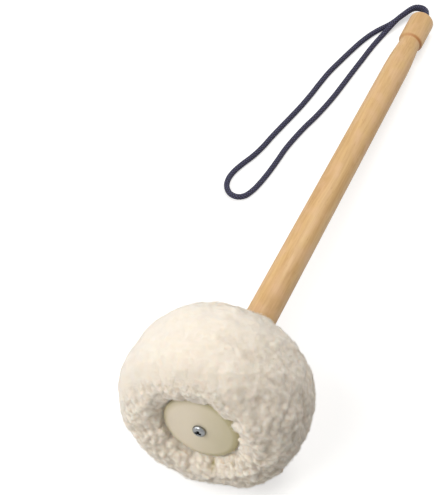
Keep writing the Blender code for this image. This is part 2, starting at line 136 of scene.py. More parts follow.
class HandleSettings(bpy.types.PropertyGroup):
    """Handle, turned from one length of wood."""

    whole: length("Length", "From the head's shoulder to the knob's end", 0.3335)
    grip: length("Grip", "From the shoulder to where the neck starts", 0.2840)
    neck: length("Neck", "From the grip to the knob's sloping face", 0.0222)
    knob_slope: length("Knob slope", "Length of the knob's sloping face", 0.0028)
    knob_lip: length("Knob lip", "Length of the knob's eased lower edge", 0.0011)
    head_end: length("Head end", "Diameter where the handle enters the head", 0.0190)
    grip_end: length("Grip end", "Diameter where the neck starts", 0.0167)
    neck_diameter: length("Neck diameter", "Diameter at the neck's narrowest place", 0.0134)
    knob_diameter: length("Knob diameter", "Diameter of the knob", 0.0168)
    knob_edge: length("Knob edge", "How far the knob's end is rounded", 0.0026)
    hole: length("Cord hole", "Diameter of the hole in the knob's end", 0.0084)
    hole_depth: length("Hole depth", "Depth of the hole in the knob's end", 0.0220)
    tenon: length("Tenon", "Diameter of the tenon in the head's core", 0.0130)
    tenon_length: length("Tenon length", "From the shoulder to the tenon's end", 0.0493)
    pilot: length("Pilot hole", "Diameter of the screw's pilot hole", 0.0046)
    pilot_end: length("Pilot hole's end", "From the shoulder to the pilot hole's end, into the head", 0.0248)
    wood: colour("Wood", "Colour of the pale wood", 213, 174, 118)
    grain: colour("Grain", "Colour of the darker grain", 178, 134, 84)
    rosy: colour("Rosy wood", "Colour of the pinker patches", 216, 174, 134)
    end_grain: colour("End grain", "Colour of the cut across the grain", 160, 98, 46)


class FleeceSettings(bpy.types.PropertyGroup):
    """Fleece cover, drawn in at both ends."""

    diameter: length("Diameter", "Across the crown, pile and all", HEAD_DIAMETER)
    crown: length("Crown", "From the crown to the handle's shoulder", 0.0336)
    front_reach: length("Front reach", "From the crown to the front roll", 0.0329)
    rear_reach: length("Rear reach", "From the crown to the rear roll", 0.0450)
    front_roll: length("Front roll", "Diameter of the front roll's crest", 0.0770)
    rear_roll: length("Rear roll", "Diameter of the rear roll's crest", 0.0560)
    front_height: length("Front roll height", "How far the front roll stands out", 0.0012)
    rear_height: length("Rear roll height", "How far the rear roll stands out", 0.0006)
    dimple: length("Rear dimple", "How far the rear end is drawn in", 0.0035)
    hem: length("Hem", "Thickness of the hem under the disc", 0.0031)
    fold_count: count("Folds", "Folds gathered round the disc", 12, 3)
    fold_depth: length("Fold depth", "How deep the folds are beside the disc", 0.0018)
    fold_width: length("Fold width", "How wide a fold's crease is", 0.0017)
    fold_reach: length("Fold reach", "How far the folds run out from the disc", 0.0150)
    rear_fold_reach: length("Rear fold reach", "How far the folds run out from the handle", 0.0300)
    clump: length("Clump size", "Across one clump of curls", 0.0075)
    curl: length("Curl size", "Across one curl", 0.0038)
    pile: length("Pile depth", "From the crevices to the tips", 0.0020)
    brushed: part("Brushed", "How curly the brushed side stays", 0.18)
    inset: length("Inset", "How far the knitted ground lies inside the pile's outline", 0.0004)
    overhang: length("Overhang", "How far the pile leans over the disc's rim", 0.0030)
    fibre_spacing: length("Fibre spacing", "From one wool fibre to the next", 0.0008)
    fibre_curl: length("Fibre curl", "Radius of a fibre's curl", 0.0013)
    fibre_radius: length("Fibre radius", "Radius of a fibre", 0.00006)
    fibre_parts: count("Fibre meshes", "Meshes that share the fibres", 5, 1)
    seed: count("Seed", "Changes how the clumps fall", 3, 0)
    tip: colour("Tips", "Colour of the pile's tips", 241, 231, 216)
    # Painted shade: the low places of the pile are painted towards this colour.
    root: colour("Roots", "Colour deep in the pile", 221, 210, 193)
    backing: colour("Backing", "Colour of the knitted backing that shows in the seam", 200, 190, 146)


class DiscSettings(bpy.types.PropertyGroup):
    """Clamp disc, moulded in milky plastic."""

    diameter: length("Diameter", "Across the disc", DISC_DIAMETER)
    thickness: length("Thickness", "Of the disc", 0.0035)
    flat: length("Flat", "Diameter of the face inside its rounded rim", 0.0370)
    edge_drop: length("Edge drop", "How far the rim falls away", 0.0018)
    front: length("Front", "From the disc's face to the handle's shoulder", 0.0575)
    hole: length("Hole", "Diameter of the screw's hole", 0.0046)
    crown: length("Crown", "How far the face falls away towards its rim", 0.0010)
    face: colour("Face", "Colour of the milky plastic", 223, 210, 187)
    # The rim and the +X side are painted towards this colour as painted shade.
    edge: colour("Edge", "Colour where the plastic is seen through its edge", 184, 174, 136)


class ScrewSettings(bpy.types.PropertyGroup):
    """Pan head wood screw."""

    diameter: length("Diameter", "Across the thread", 0.0040)
    core: length("Core", "Across the thread's root", 0.0029)
    reach: length("Length", "Under the head", 0.0320)
    point: length("Point", "Length of the point", 0.0050)
    pitch: length("Pitch", "From one thread to the next", 0.0016)
    head: length("Head", "Across the head", 0.0080)
    head_height: length("Head height", "Of the head", 0.0025)
    cross_width: length("Cross width", "Across the driver recess", 0.0046)
    cross_slot: length("Cross slot", "Width of one arm of the recess", 0.0016)
    cross_depth: length("Cross depth", "Of the driver recess", 0.0016)
    plate: colour("Zinc", "Colour of the zinc plate", 138, 140, 141)


class CordSettings(bpy.types.PropertyGroup):
    """Wrist cord, braided."""

    diameter: length("Diameter", "Of the cord", 0.0035)
    spacing: length("Spacing", "Between the middles of the two strands in the hole", 0.0039)
    end_depth: length("End depth", "How deep the cord's ends sit in the hole", 0.0200)
    mouth_lean: length("Mouth lean", "How far the cord leans aside at the hole's mouth", 0.0009)
    lying: length("Lying height", "Height of the cord's middle over the table", 0.0018)
    yarns: count("Yarns", "Yarns that run each way round the braid", 5, 2)
    pitch: length("Braid pitch", "Length of one turn of a yarn", 0.0085)
    relief: length("Relief", "How far the yarns stand out of the braid", 0.00030)
    navy: colour("Navy", "Colour of the yarns", 9, 8, 26)
    # Painted highlight: the raised yarn crossings are painted towards this colour.
    light: colour("Light navy", "Colour of the yarns' worn tops", 108, 106, 154)


class StageSettings(bpy.types.PropertyGroup):
    """Table, light and camera."""

    azimuth: angle("Azimuth", "Camera's turn round the mallet", 22.723)
    elevation: angle("Elevation", "Camera's height over the horizon", 52.615)
    focal: FloatProperty(name="Focal length", description="On the sensor's long side", default=134.55,
                         unit="CAMERA")
    table: colour("Table", "Colour of the table", 206, 205, 203)
    table_glow: part("Table glow", "How far the table is white by itself where the camera sees it", 0.55)
    world_light: part("World light", "Light from all round", 0.27)
    front_light: power("Front light", "Power of the front lamp, in watts", 6.25)
    top_light: power("Top light", "Power of the lamp past the knob, in watts", 6.5)
    side_light: power("Side light", "Power of the left lamp, in watts", 2.5)
    lamp_side: length("Lamp size", "Side of each square lamp", 0.60)


# The mallet's own frame

def mallet_place():
    """From the mallet's own frame to the table's."""
    handle = bpy.context.scene.mallet_handle
    across = Vector((1.0, 0.0, 0.0))
    turn = Matrix((across, AXIS.cross(across), AXIS)).transposed().to_4x4()
    return Matrix.Translation(KNOB_FACE - AXIS * handle.whole) @ turn


def move_points(points, matrix):
    """An array of points moved by a matrix."""
    held = np.array(matrix)
    return points @ held[:3, :3].T + held[:3, 3]


# Meshes

def new_object(name, data):
    made = bpy.data.objects.new(name, data)
    bpy.context.scene.collection.objects.link(made)
    return made


def eased(corners, spans=5):
    """A profile whose corners, (radius, z, ease), are rounded off within their ease."""
    profile = []
    for i, (radius, z, ease) in enumerate(corners):
        here = Vector((radius, z))
        if ease == 0.0 or i in (0, len(corners) - 1):
            profile.append(here)
            continue
        ends = []
        for other in (corners[i - 1], corners[i + 1]):
            away = Vector(other[:2]) - here
            ends.append(here + away * min(ease / away.length, 0.49))
        for k in range(spans + 1):
            t = k / spans
            profile.append(ends[0] * (1 - t) ** 2 + here * 2 * t * (1 - t) + ends[1] * t ** 2)
    return np.array([tuple(point) for point in profile])


def turned_points(profile, steps):
    """Rings of points, one for each point of a profile, in the mallet's own frame."""
    angles = np.arange(steps) * math.tau / steps
    radii, heights = profile[:, 0, None], profile[:, 1, None]
    return np.stack([radii * np.cos(angles), radii * np.sin(angles), heights + 0 * angles], axis=2)


def turned_faces(rows, steps, closed):
    """Faces between the rings, pointing out where the profile runs down its outer side."""
    row = np.arange(rows if closed else rows - 1)[:, None]
    step = np.arange(steps)[None, :]
    below, beside = (row + 1) % rows, (step + 1) % steps
    corners = [row * steps + step, below * steps + step, below * steps + beside, row * steps + beside]
    return np.stack(corners, axis=2).reshape(-1, 4)


def mesh_object(name, points, faces, sharp_degrees=40.0):
    """A smooth shaded mesh, its touching points merged, placed in the table's frame."""
    mesh = bpy.data.meshes.new(name)
    mesh.from_pydata(move_points(points.reshape(-1, 3), mallet_place()).tolist(), [], faces.tolist())
    made = new_object(name, mesh)
    made.modifiers.new("weld", "WELD").merge_threshold = 0.00001
    flatten(made)
    made.data.shade_smooth()
    made.data.set_sharp_from_angle(angle=math.radians(sharp_degrees))
    return made


def turned_object(name, profile, steps, closed=False):
    return mesh_object(name, turned_points(profile, steps), turned_faces(len(profile), steps, closed))


def plain_mesh(made):
    """A mesh of an object as its modifiers shape it."""
    return bpy.data.meshes.new_from_object(made.evaluated_get(bpy.context.evaluated_depsgraph_get()))


def flatten(made):
    """Turn an object with its modifiers into a plain mesh."""
    plain = plain_mesh(made)
    plain.name = made.name
    made.modifiers.clear()
    made.data = plain


def give_tree(made, tree, **inputs):
    """Put a geometry node tree on an object and give it its inputs."""
    worker = made.modifiers.new(tree.name, "NODES")
    worker.node_group = tree
    for item in tree.interface.items_tree:
        if item.in_out == "INPUT" and item.name in inputs:
            worker[item.identifier] = inputs[item.name]


def finish_piece(piece, node, finish):
    """Give a piece its material, hang it on the body, and hide the solid that it replaces."""
    piece.data.materials.clear()
    piece.data.materials.append(finish)
    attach(piece, BODY)
    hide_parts(node)


# Node trees

def has_parts(value):
    """Whether a socket or a plain value is a vector or a colour."""
    if isinstance(value, Socket):
        return value.socket.type in ("VECTOR", "RGBA")
    return isinstance(value, tuple)


class Socket:
    """A node's output. A formula with it adds the math nodes that work it out."""

    def __init__(self, wiring, socket):
        self.wiring = wiring
        self.socket = socket

    def joined(self, operation, first, second):
        adding = self.wiring.vector if has_parts(first) or has_parts(second) else self.wiring.math
        return adding(operation, first, second)

    def __add__(self, other):
        return self.joined("ADD", self, other)

    def __sub__(self, other):
        return self.joined("SUBTRACT", self, other)

    def __rsub__(self, other):
        return self.joined("SUBTRACT", other, self)

    def __mul__(self, other):
        if has_parts(self) and not has_parts(other):
            return self.wiring.get("ShaderNodeVectorMath", {"Vector": self, "Scale": other},
                                   operation="SCALE")
        return self.joined("MULTIPLY", self, other)

    def __truediv__(self, other):
        return self.joined("DIVIDE", self, other)

    def __rtruediv__(self, other):
        return self.joined("DIVIDE", other, self)


class Wiring:
    """Adds nodes to a tree and joins them, with sockets and plain values given alike."""

    def __init__(self, tree):
        self.tree = tree

    def feed(self, socket, value):
        if isinstance(value, Socket):
            self.tree.links.new(value.socket, socket)
        else:
            socket.default_value = value

    def node(self, kind, inputs=None, **settings):
        made = self.tree.nodes.new(kind)
        made.location = (180 * (len(self.tree.nodes) % 12), -220 * (len(self.tree.nodes) // 12))
        for key, value in settings.items():
            setattr(made, key, value)
        for name, value in (inputs or {}).items():
            self.feed(made.inputs[name], value)
        return made

    def get(self, kind, inputs=None, output=0, **settings):
        """A new node's output."""
        return Socket(self, self.node(kind, inputs, **settings).outputs[output])

    def outputs(self, made):
        """A node's outputs by their names."""
        return {socket.name: Socket(self, socket) for socket in made.outputs}

    def math(self, operation, *values, clamp=False):
        places = dict(enumerate(values))
        return self.get("ShaderNodeMath", places, operation=operation, use_clamp=clamp)

    def vector(self, operation, *values):
        output = "Value" if operation == "LENGTH" else "Vector"
        return self.get("ShaderNodeVectorMath", dict(enumerate(values)), output, operation=operation)

    def parts(self, vector):
        """A vector's X, Y and Z."""
        return self.outputs(self.node("ShaderNodeSeparateXYZ", {"Vector": vector}))

    def from_parts(self, x, y=0.0, z=0.0):
        return self.get("ShaderNodeCombineXYZ", {"X": x, "Y": y, "Z": z})

    def noise(self, vector, scale, detail=2.0, roughness=0.5, output="Fac"):
        return self.get("ShaderNodeTexNoise", {
            "Vector": vector, "Scale": scale, "Detail": detail, "Roughness": roughness}, output)

    def cells(self, vector, scale, feature="F1", **inputs):
        """How far a place is from the middle of its cell."""
        return self.get("ShaderNodeTexVoronoi", {"Vector": vector, "Scale": scale, **inputs},
                        "Distance", feature=feature)

    def chance(self, low, high, seed):
        """A random number between two values, another one for each element."""
        return self.get("FunctionNodeRandomValue", {2: low, 3: high, "Seed": seed}, 1, data_type="FLOAT")

    def ramp(self, value, low, high, to_low=0.0, to_high=1.0):
        """The value's place between low and high, eased at both ends."""
        return self.get("ShaderNodeMapRange", {
            "Value": value, "From Min": low, "From Max": high, "To Min": to_low, "To Max": to_high},
            interpolation_type="SMOOTHSTEP")

    def mixed(self, share, first, second):
        """Two colours mixed by a share."""
        colours = [value if isinstance(value, Socket) else (*value, 1.0) for value in (first, second)]
        return self.get("ShaderNodeMix", {0: share, 6: colours[0], 7: colours[1]}, 2, data_type="RGBA")

    def between(self, share, first, second):
        """Two numbers mixed by a share."""
        return self.get("ShaderNodeMix", {0: share, 2: first, 3: second}, data_type="FLOAT")

    def bump(self, height, strength, distance):
        return self.get("ShaderNodeBump", {"Height": height, "Strength": strength, "Distance": distance})

    def group(self, tree, **inputs):
        """The outputs of a shader group that is given its own values."""
        return self.outputs(self.node("ShaderNodeGroup", inputs, node_tree=tree))

    def place(self):
        """A point's place in the table's frame."""
        return self.get("ShaderNodeTexCoord", output="Object")

    def own_place(self):
        """A point's place in the mallet's own frame."""
        frame_place = mallet_place()
        return self.get("ShaderNodeMapping", {
            "Vector": self.place(), "Location": frame_place.to_translation(),
            "Rotation": frame_place.to_euler()}, vector_type="TEXTURE")

    def attribute(self, name):
        """A number that a piece's mesh keeps, for its material."""
        return self.get("ShaderNodeAttribute", output="Fac", attribute_name=name)

    def seen(self):
        """1 where the camera or a reflection sees a surface, 0 where it only lights others."""
        rays = self.outputs(self.node("ShaderNodeLightPath"))
        mirrored = rays["Is Camera Ray"] + rays["Is Glossy Ray"]
        return self.math("ADD", mirrored, rays["Is Transmission Ray"], clamp=True)

    def named(self, name, kind="FLOAT"):
        """A value that the geometry keeps under a name."""
        return self.get("GeometryNodeInputNamedAttribute", {"Name": name}, data_type=kind)

    def stored(self, geometry, name, value, kind="FLOAT", domain="POINT"):
        """Geometry that keeps a value under a name."""
        return self.get("GeometryNodeStoreNamedAttribute", {
            "Geometry": geometry, "Name": name, "Value": value}, data_type=kind, domain=domain)

    def swept(self, curve, profile, **inputs):
        """A profile curve swept along a curve, its ends closed."""
        return self.get("GeometryNodeCurveToMesh", {
            "Curve": curve, "Profile Curve": profile, "Fill Caps": True, **inputs})

    def ring(self, points, radius):
        return self.get("GeometryNodeCurvePrimitiveCircle", {"Resolution": points, "Radius": radius},
                        mode="RADIUS")

    def ended(self, **outputs):
        """Close a node group with its outputs, and give its tree."""
        self.node("NodeGroupOutput", outputs)
        return self.tree

    def painted(self, geometry, material, smooth=False):
        """Close a geometry tree: its instances made real, and its material set."""
        real = self.get("GeometryNodeRealizeInstances", {"Geometry": geometry})
        if smooth:
            real = self.get("GeometryNodeSetShadeSmooth", {"Geometry": real})
        return self.ended(Geometry=self.get("GeometryNodeSetMaterial", {
            "Geometry": real, "Material": material}))


def open_group(kind, name, inputs, outputs=(("Geometry", "Geometry"),)):
    """A new node group: its wiring and its inputs. A socket is (name, kind) or (name, kind, default)."""
    tree = bpy.data.node_groups.new(name, f"{kind}NodeTree")
    for direction, sockets in (("INPUT", inputs), ("OUTPUT", outputs)):
        for label, holds, *default in sockets:
            socket = tree.interface.new_socket(label, in_out=direction, socket_type=f"NodeSocket{holds}")
            if default:
                socket.default_value = default[0]
    wiring = Wiring(tree)
    return wiring, wiring.outputs(wiring.node("NodeGroupInput"))


# Shader groups that more than one material uses

def grain_group():
    """Long grain along Z, with fine pores: a colour, a height and a roughness."""
    wiring, given = open_group("Shader", "Wood Grain", [
        ("Vector", "Vector"), ("Pale", "Color"), ("Dark", "Color"), ("Contrast", "Float", 0.5)],
        [("Color", "Color"), ("Height", "Float"), ("Roughness", "Float")])
    where = given["Vector"]
    drift = wiring.noise(where * (1.0, 1.0, 0.12), 70.0, output="Color")
    bent = where * (1.0, 1.0, 0.045) + drift * 0.006
    lines = wiring.ramp(wiring.noise(bent, 900.0, 3.0, 0.6), 0.38, 0.68)
    bands = wiring.ramp(wiring.noise(bent, 190.0), 0.35, 0.70)
    flecks = wiring.cells(where * (1.0, 1.0, 0.16), 900.0)
    some = wiring.ramp(wiring.noise(where, 400.0, 0.0), 0.42, 0.60)
    pores = wiring.ramp(flecks, 0.10, 0.24, 1.0, 0.0) * some
    dark = (lines * 0.45 + bands * 0.55) * given["Contrast"]
    tone = wiring.mixed(dark, given["Pale"], given["Dark"])
    return wiring.ended(Color=wiring.mixed(pores * 0.6, tone, given["Dark"]),
                        Height=1.0 - (lines * 0.3 + pores),
                        Roughness=wiring.ramp(dark, 0.0, 0.6, 0.48, 0.60))


def fibre_group():
    """Short curly fibres: a height and a value from dark gaps to pale fibres."""
    wiring, given = open_group("Shader", "Fibres", [
        ("Vector", "Vector"), ("Size", "Float", 0.0006)],
        [("Height", "Float"), ("Value", "Float")])
    scale = 1.0 / given["Size"]
    swirl = wiring.noise(given["Vector"], scale * 0.3, 1.0, output="Color")
    bent = given["Vector"] + swirl * (given["Size"] * 5.0)
    fine = wiring.noise(bent, scale, 3.0, 0.65)
    strands = wiring.ramp(wiring.math("ABSOLUTE", fine - 0.5), 0.0, 0.16, 1.0, 0.0)
    return wiring.ended(Height=strands + fine * 0.5, Value=strands * 0.5 + 0.5)


def handling_group():
    """Marks of handling: faint dull smudges and fine scratches, as a mask and a height."""
    wiring, given = open_group("Shader", "Handling", [
        ("Vector", "Vector"), ("Size", "Float", 0.01), ("Amount", "Float", 0.5)],
        [("Mask", "Float"), ("Height", "Float")])
    scale = 1.0 / given["Size"]
    smudges = wiring.ramp(wiring.noise(given["Vector"], scale, 4.0, 0.6), 0.45, 0.75)
    lines = wiring.noise(given["Vector"] * (1.0, 6.0, 0.5), scale * 9.0, 1.0)
    scratches = wiring.ramp(wiring.math("ABSOLUTE", lines - 0.5), 0.0, 0.012, 1.0, 0.0)
    marks = wiring.math("ADD", smudges, scratches * 0.5, clamp=True)
    return wiring.ended(Mask=marks * given["Amount"], Height=1.0 - scratches)


# Materials

def new_material(name):
    """The wiring of a new node material."""
    made = bpy.data.materials.new(name)
    made.use_nodes = True
    return Wiring(made.node_tree)


def shade(wiring, **inputs):
    """Set a material's shader, with underscores for the spaces in its inputs' names."""
    shader = wiring.tree.nodes["Principled BSDF"]
    for name, value in inputs.items():
        wiring.feed(shader.inputs[name.replace("_", " ")], value)


def off_axis(wiring, parts):
    """How far a place is from the mallet's axis."""
    across, up = (wiring.math("POWER", parts[name], 2.0) for name in "XY")
    return wiring.math("SQRT", across + up)


def wood_grain(wiring, groups, place, contrast):
    handle = bpy.context.scene.mallet_handle
    return wiring.group(groups["grain"], Vector=place, Pale=(*handle.wood, 1.0),
                        Dark=(*handle.grain, 1.0), Contrast=contrast)


def handle_wood(groups):
    """Pale oiled wood, with darker end grain on the knob's sloping face, painted darker towards +X as
    painted shade.
    """
    handle = bpy.context.scene.mallet_handle
    wiring = new_material("pale_beech")
    place = wiring.own_place()
    parts = wiring.parts(place)
    grain = wood_grain(wiring, groups, place, 0.75)
    smudges = wiring.group(groups["handling"], Vector=place, Size=0.012, Amount=0.5)
    slope_start, slope, half_neck = handle.grip + handle.neck, handle.knob_slope, handle.neck_diameter / 2
    cut = wiring.ramp(parts["Z"], slope_start - 0.0006, slope_start + 0.0006) * wiring.ramp(
        parts["Z"], slope_start + slope * 0.35, slope_start + slope * 0.85, 1.0, 0.0)
    patches = wiring.ramp(wiring.noise(place * (1.0, 1.0, 0.5), 130.0), 0.40, 0.70)
    pinker = wiring.mixed(patches * 0.5, grain["Color"], handle.rosy)
    # Painted shade: the end grain is painted darker towards +X, the side turned away from the light.
    end_grain_shade = wiring.ramp(parts["X"], -half_neck, half_neck, 0.35, 0.85)
    shade(wiring, Base_Color=wiring.mixed(cut * end_grain_shade, pinker, handle.end_grain),
          Roughness=grain["Roughness"] + smudges["Mask"] * 0.12,
          Coat_Weight=0.08, Coat_Roughness=0.40, Normal=wiring.bump(grain["Height"], 0.25, 0.00015))


def core_wood(groups):
    """Unfinished turned wood inside the head."""
    wiring = new_material("turned_softwood")
    grain = wood_grain(wiring, groups, wiring.own_place(), 0.9)
    shade(wiring, Base_Color=grain["Color"], Roughness=grain["Roughness"] + 0.25,
          Normal=wiring.bump(grain["Height"], 0.6, 0.0003))


def fleece_wool(groups, name="ivory_fleece", softness=0.9):
    """Ivory wool, painted darker in the crevices of its pile as painted shade, with the backing showing in
    the seam.
    """
    fleece = bpy.context.scene.mallet_fleece
    wiring = new_material(name)
    where, height = wiring.place(), wiring.attribute("pile_height")
    fibres = wiring.group(groups["fibres"], Vector=where, Size=0.0008)
    # Painted shade: the low places of the pile are painted towards the darker root colour.
    raised = wiring.ramp(height, 0.05, 0.75) + wiring.noise(where, 60.0) * 0.25
    share = wiring.math("SUBTRACT", raised, 0.12, clamp=True) * (fibres["Value"] * 0.3 + 0.7)
    open_seam = wiring.attribute("seam") * wiring.ramp(height, 0.35, 0.75, 1.0, 0.0)
    wool = wiring.mixed(share, fleece.root, fleece.tip)
    shade(wiring, Base_Color=wiring.mixed(open_seam, wool, fleece.backing),
          Roughness=wiring.ramp(share, 0.0, 1.0, 1.0, 0.85), Specular_IOR_Level=0.2,
          Sheen_Weight=0.20, Sheen_Roughness=0.5, Subsurface_Weight=softness,
          Subsurface_Radius=(1.0, 0.85, 0.7), Subsurface_Scale=0.0024,
          Normal=wiring.bump(fibres["Height"], 0.35, 0.0003))


def loose_wool(groups):
    """The same wool for single fibres, which are too thin to scatter light inside."""
    fleece_wool(groups, "loose_wool", 0.0)


def fibrous(groups, name, size, tones, roughness, relief, sheen):
    """A finish of fine fibres, from the gaps between them to their tops."""
    wiring = new_material(name)
    fibres = wiring.group(groups["fibres"], Vector=wiring.place(), Size=size)
    shade(wiring, Base_Color=wiring.mixed(fibres["Value"], *tones),
          Roughness=wiring.ramp(fibres["Value"], 0.0, 1.0, *roughness),
          Sheen_Weight=sheen, Normal=wiring.bump(fibres["Height"], *relief))


def padding_felt(groups):
    """Grey pressed wool felt."""
    tones = (linear(118, 115, 110), linear(170, 167, 160))
    fibrous(groups, "grey_felt", 0.0009, tones, (1.0, 0.88), (0.6, 0.0004), 0.3)


def hem_thread(groups):
    """Waxed thread in the hems."""
    tones = (linear(196, 186, 162), linear(230, 222, 204))
    fibrous(groups, "waxed_thread", 0.0004, tones, (0.75, 0.55), (0.5, 0.0001), 0.0)


def disc_plastic(groups):
    """Milky plastic, with painted shade: darker and more olive towards its rim and towards +X."""
    disc = bpy.context.scene.mallet_disc
    wiring = new_material("milky_plastic")
    place = wiring.own_place()
    parts = wiring.parts(place)
    # Painted shade: the face is painted darker and more olive towards its rounded rim, with faint random
    # clouding.
    rim = wiring.ramp(off_axis(wiring, parts), disc.diameter * 0.40, disc.diameter * 0.5, 0.0, 0.75)
    rim_shade_and_cloud = rim + (wiring.noise(place, 90.0) - 0.5) * 0.2
    # Painted shade: the face is painted more olive towards +X, the side turned away from the light.
    disc_side_shade = wiring.ramp(parts["X"], -disc.diameter * 0.3, disc.diameter * 0.5, 0.0, 0.75)
    share = wiring.math("ADD", rim_shade_and_cloud, disc_side_shade, clamp=True)
    wear = wiring.group(groups["handling"], Vector=place, Size=0.008, Amount=0.6)
    height = wear["Height"] + wiring.noise(place, 1400.0, 1.0)
    shade(wiring, Base_Color=wiring.mixed(share, disc.face, disc.edge),
          Roughness=wear["Mask"] * 0.18 + 0.34, IOR=1.50, Subsurface_Weight=0.35,
          Subsurface_Radius=(1.0, 0.9, 0.6), Subsurface_Scale=0.003,
          Normal=wiring.bump(height, 0.12, 0.00006))


def screw_zinc(groups):
    """Bright zinc plate, brushed round the head, with painted shade darkening its rougher recess."""
    screw = bpy.context.scene.mallet_screw
    wiring = new_material("zinc_plate")
    place = wiring.own_place()
    parts = wiring.parts(place)
    radius = off_axis(wiring, parts)
    top = -(bpy.context.scene.mallet_disc.front + screw.head_height)
    # Painted shade: the driver recess is painted nearly black, and it is also rougher.
    recess_shade_and_dullness = wiring.ramp(radius, screw.cross_width * 0.5, screw.cross_width * 0.42) * wiring.ramp(
        parts["Z"], top + screw.head_height * 0.17, top + screw.head_height * 0.32)
    turning = wiring.noise(wiring.from_parts(radius), 14000.0, 1.0)
    wear = wiring.group(groups["handling"], Vector=place, Size=0.002, Amount=1.0)
    shade(wiring, Metallic=1.0, Base_Color=wiring.mixed(recess_shade_and_dullness, screw.plate, linear(26, 26, 30)),
          Roughness=wear["Mask"] * 0.15 + 0.20 + recess_shade_and_dullness * 0.3,
          Normal=wiring.bump(turning, 0.10, 0.00004))


def cord_braid(groups):
    """Navy braid, with painted highlight: paler on the yarns' raised tops."""
    cord = bpy.context.scene.mallet_cord
    wiring = new_material("navy_braid")
    fibres = wiring.group(groups["fibres"], Vector=wiring.place(), Size=0.0003)
    # Painted highlight: the raised yarn crossings are painted paler than the navy between them.
    share = wiring.ramp(wiring.attribute("relief"), 0.50, 1.0) * fibres["Value"]
    shade(wiring, Base_Color=wiring.mixed(share, cord.navy, cord.light),
          Roughness=wiring.ramp(share, 0.0, 1.0, 0.75, 0.50),
          Normal=wiring.bump(fibres["Height"], 0.5, 0.0001))


def finishes():
    """Every material, made once and then found by name."""
    if "pale_beech" not in bpy.data.materials:
        groups = {"grain": grain_group(), "fibres": fibre_group(), "handling": handling_group()}
        for make in (handle_wood, core_wood, fleece_wool, loose_wool, padding_felt, hem_thread,
                     disc_plastic, screw_zinc, cord_braid):
            make(groups)
    return bpy.data.materials


# Handle

class MALLET_OT_handle(bpy.types.Operator):
    """Turn the handle with its tenon, grip, neck and knob"""

    bl_idname = "mallet.handle"
    bl_label = "Handle"

    def execute(self, context):
        size = context.scene.mallet_handle
        knob_base = size.grip + size.neck + size.knob_slope
        hole_end = size.whole - size.hole_depth
        profile = eased([
            (0.0, hole_end, 0.0),
            (size.hole / 2, hole_end, 0.0),
            (size.hole / 2, size.whole, 0.0007),
            (size.knob_diameter / 2, size.whole, size.knob_edge),
            (size.knob_diameter / 2, knob_base, 0.0003),
            (size.knob_diameter / 2 - 0.0003, knob_base - size.knob_lip, 0.0005),
            (size.neck_diameter / 2, size.grip + size.neck, 0.0018),
            (size.grip_end / 2, size.grip, 0.0100),
            (size.head_end / 2, 0.0, 0.0002),
            (size.tenon / 2, 0.0, 0.0),
            (size.tenon / 2, -size.tenon_length, 0.0008),
            (size.pilot / 2, -size.tenon_length, 0.0),
            (size.pilot / 2, -size.pilot_end, 0.0),
            (0.0, -size.pilot_end, 0.0),
        ])
        handle = turned_object("handle_turned", profile, 128)
        finish_piece(handle, "handle", finishes()["pale_beech"])
        return {"FINISHED"}


# Clamp disc and its screw

class MALLET_OT_disc(bpy.types.Operator):
    """Mould the clamp disc with its swollen face and its rounded rim"""

    bl_idname = "mallet.disc"
    bl_label = "Clamp Disc"

    def execute(self, context):
        size = context.scene.mallet_disc
        back, radius, flat = size.thickness - size.front, size.diameter / 2, size.flat / 2

        def face(across):
            return -size.front + size.crown * (across / radius) ** 2

        rim_spans, face_spans = 12, 10
        rim = []
        for k in range(rim_spans + 1):
            angle = math.pi / 2 * k / rim_spans
            across = flat + (radius - flat) * math.cos(angle)
            rim.append((across, face(across) + size.edge_drop * (1 - math.sin(angle)), 0.0))
        swell = [(flat * k / face_spans, face(flat * k / face_spans), 0.0)
                 for k in range(face_spans - 1, 1, -1)]
        profile = eased([(size.hole / 2, back, 0.0), (radius, back, 0.0003)] + rim + swell + [
            (size.hole / 2, -size.front, 0.0)])
        disc = turned_object("clamp_disc_moulded", profile, 128, closed=True)
        finish_piece(disc, "clamp_disc", finishes()["milky_plastic"])
        return {"FINISHED"}


def thread_tree():
    """Geometry nodes that sweep a thread's ridge along the screw's shank."""
    wiring, given = open_group("Geometry", "Screw Thread", [
        ("Length", "Float", 0.02), ("Pitch", "Float", 0.0016), ("Root", "Float", 0.0014),
        ("Ridge", "Float", 0.0005), ("Material", "Material")])
    helix = wiring.get("GeometryNodeCurveSpiral", {
        "Resolution": 24, "Rotations": given["Length"] / given["Pitch"], "Start Radius": given["Root"],
        "End Radius": given["Root"], "Height": given["Length"]})
    return wiring.painted(wiring.swept(helix, wiring.ring(4, given["Ridge"])), given["Material"])


